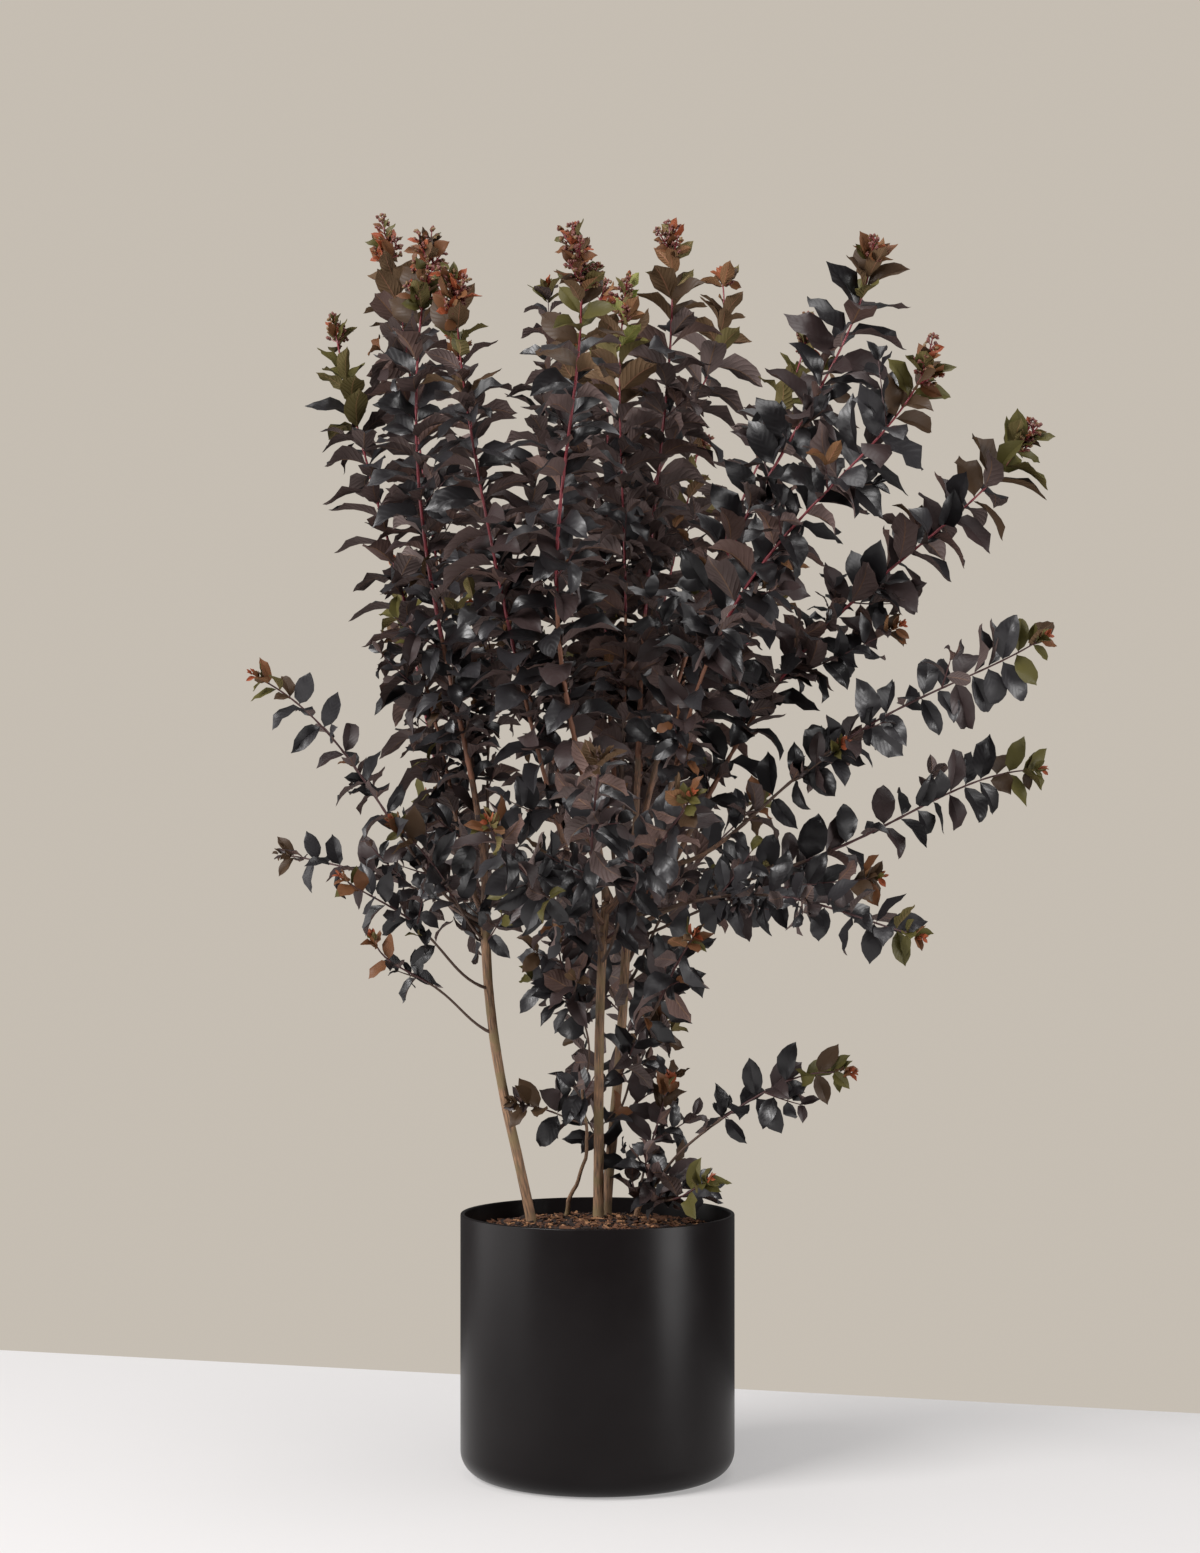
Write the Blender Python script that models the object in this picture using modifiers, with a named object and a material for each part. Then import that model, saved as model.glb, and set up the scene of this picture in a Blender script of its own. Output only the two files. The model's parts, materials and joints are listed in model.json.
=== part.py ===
"""A potted crape myrtle with near-black leaves: three stems, leafy shoots and a plain charcoal planter.

Metres, +Z up.  The origin is the centre of the planter's flat underside, +X is the plant's right
and +Y points away from its front.  Each limb and each leafy shoot is an object of its own, and
neighbours stand GAP clear of each other.
"""

import math
import random
from dataclasses import dataclass

import bmesh
import bpy
from mathutils import Matrix, Vector
from mathutils.bvhtree import BVHTree
from mathutils.kdtree import KDTree

# ---------------------------------------------------------------- driving dimensions

GAP = 0.0003                 # clearance between neighbouring solids
CUT_CLEAR = 0.0004           # growth of a limb's copy along its corners, for that clearance

POT_RADIUS = 0.178           # a 14 inch cylinder planter
POT_HEIGHT = 0.338
POT_WALL = 0.0055
POT_FLOOR = 0.009
POT_FOOT_FILLET = 0.032      # round turn from the wall into the underside
POT_RIM_ROUND = 0.0015
POT_SIDES = 32

MIX_TOP = 0.322              # level of the potting mix round the stems
MIX_PLATEAU_RADIUS = 0.140
MIX_EDGE_DROP = 0.010        # the mix lies lower against the wall

LEAF_LENGTH = 0.098          # larger than life, for fewer leaves stand for more
LEAF_WIDTH = 0.058
LEAF_THICKNESS = 0.0028
LEAF_ARCH = 0.12             # rise of the middle over the root, as a share of the length
LEAF_DROOP = 0.18            # fall of the tip under the root, as a share of the length
LEAF_ROLL = math.radians(38) # a blade is turned about its own length by up to this much
LEAF_WIDEST = 0.43           # where the blade is widest, as a share of the length
LEAF_OUT = math.radians(68)  # angle between a leaf and the shoot that it grows on
PAIR_PITCH = 0.109           # distance from one pair of leaves to the next
PAIR_START = 0.35            # the first pair stands this part of a pitch above the bare foot
PAIR_OFFSET = 0.014          # the second leaf of a pair stands a little higher
PAIR_TURN = math.radians(90)
PAIR_STRAY = 0.3             # and a pair strays from that turn by up to this, in radians
SIZE_SPREAD = 0.08
TOP_SHRINK = 0.35            # leaves grow smaller toward the end of a shoot
TIP_OUT = math.radians(32)   # the young leaves at a shoot's end stand more upright
TIP_SIZE = 0.62              # and are this much of full size
TIP_LEVELS = (0.95, 0.935)   # where the two young leaves stand, as shares of the shoot
OUT_SPREAD = 0.15
LEAF_TRIES = 7               # other directions that are tried before a leaf is left out
TRY_TURN = math.tau * 0.19   # how far each further try swings about the shoot
TRY_SHRINK = 0.06
LEAF_STATIONS = (0.12, 0.24, 0.36, 0.46, 0.6, 0.75, 0.88, 1.0)  # where a blade's reach is tested
LEAF_CLEAR = 0.0015          # from a leaf to any limb
SPACE_MARGIN = 0.0010        # a mass stays this much nearer to its own twigs than to others

SHOOT_TIP_RADIUS = 0.0012
SHOOT_END = 0.96             # a shoot's own stem ends here, and its last leaves reach the tip
SHOOT_LEAST_STEPS = 4
BARE_FOOT = 0.02             # no leaf stands nearer than this to the end of a bare limb
TWIG_PITCH = 0.24            # one side twig for each such length of a leafy shoot
TWIG_RANGE = (0.06, 0.78)    # part of the leafy length that bears side twigs
TWIG_SPREAD = (0.2, 0.8)
TWIG_REACH = 0.105
TWIG_TOP_REACH = 1.15        # side twigs grow shorter up the shoot, to this less the share
TWIG_REACH_SPREAD = (0.75, 1.15)
TWIG_RISE = 1.6              # how fast a side twig bends up, by its reach squared
TWIG_FOOT_RADIUS = 0.0017
TWIG_TIP_RADIUS = 0.0009
TWIG_OUT = math.radians(50)
TWIG_TURN = math.radians(137.5)
TWIG_CLEAR = 0.012           # a side twig keeps this far from other limbs and twigs
TWIG_STEPS = 2
TWIG_LEAF_SIZE = 0.72
TWIG_LEAVES = ((0.25, 0.0), (0.45, math.pi), (0.9, 0.6))   # share of the twig and turn about it
TWIG_FREE_FROM = 3           # points at a twig's root that may be near its own shoot
POINT_SPACING = 0.006        # of the points that stand for twigs when spaces are compared

FLARE = 0.15                 # root flare at the ground, as a share of the stem's radius
FLARE_HEIGHT = 0.022
FLARE_RINGS = 3              # the lowest rings of a flared stem stand straight over its foot
FORK_SPREAD = 0.009          # a side limb first swings this far away from its parent
FORK_REACH = 0.050           # and is there at this distance from the fork
DEPTH_ARCH = 0.10            # limbs that lean forward or back stand a little outside their chord
ALONG_STEP = 0.01            # share of a line over which its direction is taken
STEM_SHARES = (0.0, 0.02, 0.06, 0.12, 0.2, 0.3, 0.4, 0.5, 0.6, 0.7, 0.8, 0.9, 1.0)
BOUGH_STEPS = 6
SHOOT_STEP = 0.10            # length of a straight piece of a leafy shoot
THIN_STEM_SHARES = (0.0, 0.02, 0.06, 0.12, 0.2, 0.4, 0.6, 0.8, 1.0)
STEM_SIDES = 8
BOUGH_SIDES = 6
THIN_STEM = 0.004            # stems under this radius have a bough's sides and fewer rings
SHARP_FROM = math.radians(40)
WELD = 0.00001
UP = Vector((0.0, 0.0, 1.0))


@dataclass(frozen=True)
class Limb:
    """One line of growth, from its foot to its tip.

    It runs from a parent's middle line (or, for a stem, from the ground) to `tip`, and stands
    `bow` to the right of that chord at its quarter, half and three-quarter points.  Its first
    part, `bough`, is a bare round limb; the rest is a leafy shoot, whose leaves begin at `leafy`.
    """

    name: str
    parent: str
    at: float
    tip: tuple
    bow: tuple
    bough: float
    leafy: float
    radius: float


@dataclass(frozen=True)
class Stem:
    """A main stem, cut flat at the ground, from `foot` (x, y) to its fork at `tip`."""

    name: str
    foot: tuple
    tip: tuple
    bow: tuple
    radius: float
    tip_radius: float


STEMS = (
    Stem("left", (-0.086, 0.02), (-0.146, 0.0, 0.738), (-0.007, -0.013, -0.011), 0.0063, 0.0062),
    Stem("centre", (0.001, 0.05), (0.011, 0.03, 0.74), (-0.002, -0.004, -0.004), 0.0068, 0.0056),
    Stem("back", (0.011, 0.11), (0.045, 0.13, 0.752), (0.001, 0.002, 0.0), 0.0068, 0.0060),
    Stem("crooked_sucker", (-0.042, 0.07), (-0.02, 0.03, 0.5), (0.007, 0.016, 0.01), 0.0028, 0.0018),
    Stem("right_sucker", (0.051, 0.06), (0.078, 0.035, 0.372), (-0.005, -0.006, -0.004), 0.0036, 0.0026),
)

LIMBS = (
    # on the left stem
    Limb("left_leader", "left", 1.0, (-0.208, -0.1, 1.598), (-0.011, -0.038, -0.038), 0.19, 0.12, 0.0046),
    Limb("left_outer", "left", 0.965, (-0.355, 0.1, 1.527), (-0.001, -0.001, -0.004), 0.17, 0.14, 0.0038),
    Limb("left_inner", "left_leader", 0.13, (-0.292, 0.12, 1.663), (0.001, 0.0, 0.005), 0.0, 0.08, 0.003),
    Limb("left_short", "left_leader", 0.05, (-0.162, 0.06, 1.126), (0.007, 0.012, 0.02), 0.0, 0.3, 0.0026),
    Limb("left_arm", "left", 0.94, (-0.427, -0.12, 1.025), (-0.005, 0.008, 0.018), 0.0, 0.22, 0.0027),
    Limb("left_low_back", "left", 0.915, (-0.419, 0.12, 0.803), (0.021, 0.02, 0.012), 0.0, 0.2, 0.0024),
    Limb("left_low_front", "left", 0.74, (-0.315, -0.15, 0.771), (0.004, 0.012, 0.008), 0.0, 0.33, 0.0023),
    Limb("left_lowest", "left", 0.6, (-0.285, -0.05, 0.693), (0.005, 0.005, -0.005), 0.0, 0.42, 0.0022),
    Limb("left_tuft", "left", 0.885, (-0.255, -0.06, 0.84), (0.006, 0.01, 0.008), 0.0, 0.24, 0.0022),
    # on the centre stem
    Limb("centre_leader", "centre", 1.0, (-0.03, -0.35, 1.546), (-0.028, -0.041, -0.01), 0.14, 0.12, 0.0046),
    Limb("centre_left", "centre", 0.93, (-0.173, -0.25, 1.512), (-0.031, -0.033, -0.026), 0.17, 0.13, 0.0038),
    Limb("right_leader", "centre", 0.965, (0.346, -0.15, 1.566), (-0.015, -0.028, -0.001), 0.26, 0.2, 0.0044),
    Limb("right_inner", "right_leader", 0.19, (0.281, 0.06, 1.521), (-0.006, -0.01, 0.004), 0.0, 0.1, 0.003),
    Limb("right_second", "right_leader", 0.07, (0.406, -0.3, 1.425), (-0.028, -0.05, -0.012), 0.2, 0.16, 0.0036),
    Limb("right_long", "centre", 0.875, (0.576, 0.05, 1.378), (-0.014, -0.04, -0.01), 0.24, 0.2, 0.0042),
    Limb("right_middle", "right_long", 0.15, (0.557, -0.12, 1.073), (-0.006, -0.021, -0.013), 0.15, 0.12, 0.003),
    Limb("front_left", "centre", 0.9, (-0.128, -0.33, 0.837), (-0.012, -0.012, -0.01), 0.0, 0.18, 0.0026),
    Limb("front", "centre", 0.85, (0.003, -0.42, 0.911), (-0.01, -0.012, -0.008), 0.0, 0.16, 0.0026),
    Limb("front_right", "centre", 0.815, (0.108, -0.38, 0.866), (-0.006, -0.01, -0.006), 0.0, 0.16, 0.0026),
    # on the back stem
    Limb("back_right", "back", 1.0, (0.096, 0.2, 1.678), (-0.001, 0.001, 0.012), 0.2, 0.16, 0.0048),
    Limb("back_left", "back", 0.965, (-0.001, 0.3, 1.603), (-0.012, -0.01, 0.004), 0.18, 0.15, 0.004),
    Limb("back_gold", "back_left", 0.13, (0.042, 0.14, 1.587), (0.006, 0.002, -0.008), 0.0, 0.12, 0.0028),
    Limb("back_bent", "back_left", 0.12, (0.175, 0.38, 1.64), (-0.05, -0.055, -0.002), 0.0, 0.1, 0.003),
    Limb("right_low", "back", 0.885, (0.591, 0.15, 0.918), (-0.006, 0.001, -0.011), 0.14, 0.12, 0.0034),
    Limb("right_drooping", "back", 0.925, (0.389, -0.22, 0.704), (-0.028, -0.039, -0.024), 0.0, 0.18, 0.003),
    Limb("right_small", "back", 0.85, (0.361, 0.0, 0.773), (-0.015, -0.021, -0.013), 0.0, 0.25, 0.0026),
    Limb("right_front_low", "back", 0.54, (0.118, -0.19, 0.7), (0.012, 0.008, 0.002), 0.0, 0.24, 0.0025),
    # behind, out of the front view
    Limb("rear_left", "back", 0.9, (-0.209, 0.35, 1.549), (-0.03, -0.04, -0.02), 0.16, 0.13, 0.004),
    Limb("rear", "back", 0.855, (-0.033, 0.44, 1.55), (-0.01, -0.012, -0.006), 0.0, 0.13, 0.0034),
    Limb("rear_right", "back", 0.815, (0.149, 0.45, 1.421), (-0.01, -0.02, -0.01), 0.0, 0.14, 0.0034),
    Limb("rear_far_right", "back", 0.77, (0.278, 0.42, 1.23), (-0.02, -0.03, -0.014), 0.0, 0.16, 0.0032),
    Limb("rear_far_left", "left", 0.85, (-0.284, 0.3, 1.217), (-0.006, -0.01, -0.004), 0.0, 0.15, 0.003),
    Limb("rear_low_left", "left", 0.79, (-0.238, 0.36, 0.882), (0.01, 0.014, 0.008), 0.0, 0.2, 0.0026),
    Limb("rear_low_right", "back", 0.7, (0.234, 0.42, 0.883), (-0.014, -0.02, -0.012), 0.0, 0.18, 0.0028),
    Limb("rear_low", "back", 0.62, (0.004, 0.46, 0.695), (-0.006, -0.01, -0.006), 0.0, 0.2, 0.0026),
    # short growth near the ground
    Limb("low_right_tuft", "back", 0.3, (0.088, 0.205, 0.58), (-0.004, -0.008, -0.004), 0.0, 0.25, 0.0022),
    Limb("crooked_top", "crooked_sucker", 1.0, (-0.05, -0.06, 0.69), (0.017, 0.014, 0.003), 0.0, 0.1, 0.0017),
    Limb("crooked_side", "crooked_sucker", 0.72, (-0.098, -0.01, 0.482), (0.004, 0.006, 0.004), 0.0, 0.25, 0.0016),
    Limb("right_sucker_tuft", "right_sucker", 0.55, (0.136, -0.07, 0.388), (0.004, 0.006, 0.004), 0.0, 0.2, 0.0024),
    Limb("right_sucker_arm", "right_sucker", 1.0, (0.315, -0.08, 0.525), (-0.025, -0.032, -0.03), 0.0, 0.28, 0.0024),
    Limb("upright_sucker", "right_sucker", 0.25, (0.093, 0.075, 0.498), (-0.003, -0.002, 0.0), 0.0, 0.25, 0.002),
)

WOOD = ("wood", (0.205, 0.120, 0.068), 0.75)
BOUGH_WOOD = ("bough wood", (0.150, 0.070, 0.045), 0.70)
LEAVES = ("leaves", (0.030, 0.026, 0.032), 0.55)
POT_FINISH = ("planter", (0.022, 0.020, 0.021), 0.45)
MIX_FINISH = ("potting mix", (0.085, 0.038, 0.020), 0.95)


# ---------------------------------------------------------------- scene helpers

def clear_scene():
    """Remove every object that the file holds."""
    for obj in list(bpy.data.objects):
        bpy.data.objects.remove(obj, do_unlink=True)


def new_collection(name):
    """Add a collection to the scene."""
    collection = bpy.data.collections.new(name)
    bpy.context.scene.collection.children.link(collection)
    return collection


def make_material(label, finish):
    """Make a Principled material for one object."""
    _, colour, roughness = finish
    material = bpy.data.materials.new(label)
    material.use_nodes = True
    shader = material.node_tree.nodes["Principled BSDF"]
    shader.inputs["Base Color"].default_value = (*colour, 1.0)
    shader.inputs["Roughness"].default_value = roughness
    shader.inputs["Metallic"].default_value = 0.0
    material.diffuse_color = (*colour, 1.0)
    return material


def add_object(name, data, collection, finish=None):
    """Link a new object with its own material."""
    obj = bpy.data.objects.new(name, data)
    collection.objects.link(obj)
    if finish:
        data.materials.clear()
        data.materials.append(make_material(f"{name} {finish[0]}", finish))
    return obj


def evaluated_mesh(obj):
    """Return a new mesh with the object's modifiers applied."""
    bpy.context.view_layer.update()
    depsgraph = bpy.context.evaluated_depsgraph_get()
    return bpy.data.meshes.new_from_object(obj.evaluated_get(depsgraph))


def keep_as_mesh(obj):
    """Turn a curve object into a closed mesh object in the same place."""
    mesh = evaluated_mesh(obj)
    shape = bmesh.new()
    shape.from_mesh(mesh)
    bmesh.ops.remove_doubles(shape, verts=shape.verts, dist=WELD)
    bmesh.ops.recalc_face_normals(shape, faces=shape.faces)
    shape.to_mesh(mesh)
    shape.free()
    result = bpy.data.objects.new(obj.name, mesh)
    result.matrix_world = obj.matrix_world
    obj.users_collection[0].objects.link(result)
    curve = obj.data
    name = obj.name
    bpy.data.objects.remove(obj, do_unlink=True)
    bpy.data.curves.remove(curve)
    result.name = name
    return result


# ---------------------------------------------------------------- planter

def turned(name, profile, finish, collection):
    """Turn a closed profile of (radius, height) points about Z."""
    mesh = bpy.data.meshes.new(name)
    shape = bmesh.new()
    points = [shape.verts.new((radius, 0.0, height)) for radius, height in profile]
    for first, second in zip(points, points[1:]):
        shape.edges.new((first, second))
    shape.to_mesh(mesh)
    shape.free()
    obj = add_object(name, mesh, collection, finish)
    screw = obj.modifiers.new("turn", "SCREW")
    screw.angle = math.tau
    screw.steps = POT_SIDES
    screw.render_steps = POT_SIDES
    screw.use_merge_vertices = True
    screw.merge_threshold = WELD
    return obj


def arc(centre, radius, start, end, steps):
    """Points of an arc in the profile's plane, angles in degrees."""
    angles = [math.radians(start + (end - start) * i / steps) for i in range(steps + 1)]
    return [(centre[0] + radius * math.cos(a), centre[1] + radius * math.sin(a)) for a in angles]


def build_pot(collection):
    """Thin straight wall, small round rim, wide fillet into a flat underside."""
    inner = POT_RADIUS - POT_WALL
    inner_fillet = POT_FOOT_FILLET - POT_WALL
    profile = [(inner + POT_RIM_ROUND, POT_HEIGHT)]
    profile += arc((POT_RADIUS - POT_RIM_ROUND, POT_HEIGHT - POT_RIM_ROUND), POT_RIM_ROUND, 90, 0, 1)
    profile += arc((POT_RADIUS - POT_FOOT_FILLET, POT_FOOT_FILLET), POT_FOOT_FILLET, 0, -90, 5)
    profile += [(0.0, 0.0), (0.0, POT_FLOOR)]
    profile += arc((inner - inner_fillet, POT_FLOOR + inner_fillet), inner_fillet, -90, 0, 3)
    profile += arc((inner + POT_RIM_ROUND, POT_HEIGHT - POT_RIM_ROUND), POT_RIM_ROUND, 180, 90, 1)
    return turned("planter", profile, POT_FINISH, collection)


def build_mix(collection):
    """The potting mix fills the planter to just under its rim."""
    side = POT_RADIUS - POT_WALL - GAP
    fillet = POT_FOOT_FILLET - POT_WALL
    floor = POT_FLOOR + GAP
    profile = [(0.0, MIX_TOP), (MIX_PLATEAU_RADIUS, MIX_TOP), (side, MIX_TOP - MIX_EDGE_DROP)]
    profile += arc((side - fillet, floor + fillet), fillet, 0, -90, 3)
    profile += [(0.0, floor)]
    return turned("potting_mix", profile, MIX_FINISH, collection)


# ---------------------------------------------------------------- lines of growth

def bow_at(bow, share):
    """Smooth offset from the chord: zero at both ends, `bow` at 1/4, 1/2 and 3/4."""
    stations = (0.0, 0.25, 0.5, 0.75, 1.0)
    total = 0.0
    for offset, own in zip(bow, stations[1:4]):
        weight = 1.0
        for other in stations:
            if other != own:
                weight *= (share - other) / (own - other)
        total += offset * weight
    return total


class Line:
    """A limb's middle line with its radius, both by share of its length."""

    def __init__(self, foot, tip, bow, foot_radius, tip_radius, flare=0.0, away_from=None):
        self.foot = Vector(foot)
        self.tip = Vector(tip)
        self.bow = bow
        self.foot_radius = foot_radius
        self.tip_radius = tip_radius
        self.flare = flare
        chord = self.tip - self.foot
        self.length = chord.length
        self.side = Vector((chord.z, 0.0, -chord.x)).normalized()
        self.lean = chord.y
        self.away = Vector()
        if away_from:
            self.away = (chord - away_from * chord.dot(away_from)).normalized() * FORK_SPREAD

    def point(self, share):
        """Place on the middle line."""
        place = self.foot.lerp(self.tip, share) + self.side * bow_at(self.bow, share)
        place.y += DEPTH_ARCH * self.lean * 4.0 * share * (1.0 - share)
        reach = share * self.length / FORK_REACH
        return place + self.away * (reach * math.exp(1.0 - reach))

    def along(self, share):
        """Direction of growth."""
        low = max(0.0, share - ALONG_STEP)
        high = min(1.0, share + ALONG_STEP)
        return (self.point(high) - self.point(low)).normalized()

    def radius(self, share):
        """Half thickness, with the root flare where there is one."""
        plain = self.foot_radius + (self.tip_radius - self.foot_radius) * share
        spread = math.exp(-share * self.length / FLARE_HEIGHT)
        return plain * (1.0 + self.flare * spread)


def even_shares(start, end, steps):
    """Evenly spaced shares of a length."""
    return [start + (end - start) * i / steps for i in range(steps + 1)]


def all_lines():
    """Work out every stem's and limb's line, parents first."""
    lines = {}
    for stem in STEMS:
        foot = (*stem.foot, MIX_TOP + GAP)
        lines[stem.name] = Line(foot, stem.tip, stem.bow, stem.radius, stem.tip_radius, FLARE)
    for limb in LIMBS:
        parent = lines[limb.parent]
        parent_way = parent.along(limb.at) if limb.at < 1.0 else None
        lines[limb.name] = Line(parent.point(limb.at), limb.tip, limb.bow, limb.radius,
                                SHOOT_TIP_RADIUS, away_from=parent_way)
    return lines


# ---------------------------------------------------------------- tubes

def three_sided_section(collection):
    """A small triangle that twigs take as their section."""
    curve = bpy.data.curves.new("twig section", "CURVE")
    curve.dimensions = "2D"
    spline = curve.splines.new("POLY")
    spline.points.add(2)
    for i, point in enumerate(spline.points):
        angle = math.tau * i / 3
        point.co = (math.cos(angle), math.sin(angle), 0.0, 1.0)
    spline.use_cyclic_u = True
    obj = bpy.data.objects.new("twig section", curve)
    collection.objects.link(obj)
    obj.hide_render = True
    obj.display_type = "WIRE"
    return obj


def tube(name, places, radii, collection, section=None, sides=BOUGH_SIDES):
    """Make a closed tapering tube along the places given, as a mesh object."""
    curve = bpy.data.curves.new(name, "CURVE")
    curve.dimensions = "3D"
    curve.use_fill_caps = True
    if section:
        curve.bevel_mode = "OBJECT"
        curve.bevel_object = section
    else:
        curve.bevel_depth = 1.0
        curve.bevel_resolution = (sides - 4) // 2
    spline = curve.splines.new("POLY")
    spline.points.add(len(places) - 1)
    for point, place, radius in zip(spline.points, places, radii):
        point.co = (*place, 1.0)
        point.radius = radius
    obj = bpy.data.objects.new(name, curve)
    collection.objects.link(obj)
    return keep_as_mesh(obj)


def limb_tube(name, line, shares, collection, section=None, sides=BOUGH_SIDES):
    """A tube along part of a line; a flared stem rises straight from the ground."""
    places = [line.point(share) for share in shares]
    if line.flare:
        for place in places[1:FLARE_RINGS]:
            place.x = places[0].x
            place.y = places[0].y
    radii = [line.radius(share) for share in shares]
    return tube(name, places, radii, collection, section, sides)


def grown_copy(obj, cutters):
    """A copy of a limb, a little over GAP larger all round, that cuts its neighbours clear."""
    copy = bpy.data.objects.new(f"around {obj.name}", obj.data)
    cutters.objects.link(copy)
    copy.hide_render = True
    copy.display_type = "WIRE"
    swell = copy.modifiers.new("swell", "DISPLACE")
    swell.strength = CUT_CLEAR
    swell.mid_level = 0.0
    return copy


# ---------------------------------------------------------------- leafy shoots

def leaf_blank():
    """One arched leaf, one unit long, its root at the origin and its tip at +X.

    It is a flattened double pyramid: the poles are the root and the tip, and the three corners
    between them are the two edges of the blade and its midrib, which stands over them.
    """
    shape = bmesh.new()
    bmesh.ops.create_uvsphere(shape, u_segments=3, v_segments=2, radius=1.0)
    half_width = 0.5 * LEAF_WIDTH / LEAF_LENGTH
    thickness = LEAF_THICKNESS / LEAF_LENGTH
    for vertex in shape.verts:
        if vertex.co.z > 0.5:
            vertex.co = (1.0, 0.0, -LEAF_DROOP)
        elif vertex.co.z < -0.5:
            vertex.co = (0.0, 0.0, 0.0)
        elif vertex.co.y > 0.5:
            vertex.co = (LEAF_WIDEST, 0.0, LEAF_ARCH + thickness)
        else:
            vertex.co = (LEAF_WIDEST, math.copysign(half_width, vertex.co.x), LEAF_ARCH)
    bmesh.ops.recalc_face_normals(shape, faces=shape.faces)
    mesh = bpy.data.meshes.new("leaf")
    shape.to_mesh(mesh)
    shape.free()
    return mesh


def around(direction, turn):
    """A unit vector square to `direction`, turned about it; turn 0 points sideways."""
    side = direction.cross(UP)
    if side.length < 0.05:
        side = direction.cross(Vector((0.0, 1.0, 0.0)))
    side.normalize()
    return Matrix.Rotation(turn, 3, direction) @ side


def leaf_matrix(place, along, turn, out, roll, size):
    """Placement of a leaf that grows from `place`, its upper side to the sky but for its roll."""
    radial = around(along, turn)
    direction = (along * math.cos(out) + radial * math.sin(out)).normalized()
    across = UP.cross(direction)
    if across.length < 0.1:
        across = along.cross(radial)
    across = Matrix.Rotation(roll, 3, direction) @ across.normalized()
    normal = direction.cross(across)
    frame = Matrix((direction, across, normal)).transposed().to_4x4()
    return Matrix.Translation(place) @ frame @ Matrix.Scale(size, 4)


class Spine:
    """The straight pieces that a leafy shoot's own stem is made of."""

    def __init__(self, limb, line):
        self.line = line
        self.start = limb.bough
        self.leafy = max(limb.leafy, limb.bough + BARE_FOOT)
        steps = max(SHOOT_LEAST_STEPS, round(line.length * (SHOOT_END - self.start) / SHOOT_STEP))
        self.shares = even_shares(self.start, SHOOT_END, steps)
        self.places = [line.point(share) for share in self.shares]

    def point(self, share):
        """Place on the middle of the stem's own tube."""
        steps = len(self.places) - 1
        run = min(max((share - self.start) / (SHOOT_END - self.start), 0.0), 0.9999) * steps
        index = int(run)
        return self.places[index].lerp(self.places[index + 1], run - index)


def side_twigs(limb, spine):
    """The seeded rule by which side twigs branch from a leafy shoot, as runs of places."""
    draw = random.Random(f"{limb.name} twigs")
    line = spine.line
    count = round(line.length * (1.0 - limb.leafy) / TWIG_PITCH)
    turn = draw.uniform(0.0, math.tau)
    low, high = TWIG_RANGE
    twigs = []
    for i in range(count):
        rise = low + (high - low) * (i + draw.uniform(*TWIG_SPREAD)) / count
        share = spine.leafy + (1.0 - spine.leafy) * rise
        turn += TWIG_TURN
        along = line.along(share)
        reach = TWIG_REACH * (TWIG_TOP_REACH - share) * draw.uniform(*TWIG_REACH_SPREAD)
        heading = along * math.cos(TWIG_OUT) + around(along, turn) * math.sin(TWIG_OUT)
        runs = even_shares(0.0, reach, TWIG_STEPS)
        twigs.append([spine.point(share) + heading * run + UP * (TWIG_RISE * run * run) for run in runs])
    return twigs


def twig_tree(points):
    """A search tree of the given points."""
    tree = KDTree(len(points))
    for index, point in enumerate(points):
        tree.insert(point, index)
    tree.balance()
    return tree


def fill_points(places):
    """Points along a run of places, close together."""
    points = []
    for first, second in zip(places, places[1:]):
        count = max(1, int((second - first).length / POINT_SPACING))
        points += [first.lerp(second, i / count) for i in range(count)]
    return points + [places[-1]]


def leaf_points(matrix):
    """Points all over a leaf blade, to test where it reaches."""
    points = []
    for share in LEAF_STATIONS:
        if share < LEAF_WIDEST:
            spread = share / LEAF_WIDEST
            height = LEAF_ARCH * spread
        else:
            spread = (1.0 - share) / (1.0 - LEAF_WIDEST)
            height = LEAF_ARCH * spread - LEAF_DROOP * (1.0 - spread)
        half = 0.5 * LEAF_WIDTH / LEAF_LENGTH * spread
        for across in (-half, -0.5 * half, 0.0, 0.5 * half, half):
            points.append(matrix @ Vector((share, across, height)))
    return points


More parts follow.
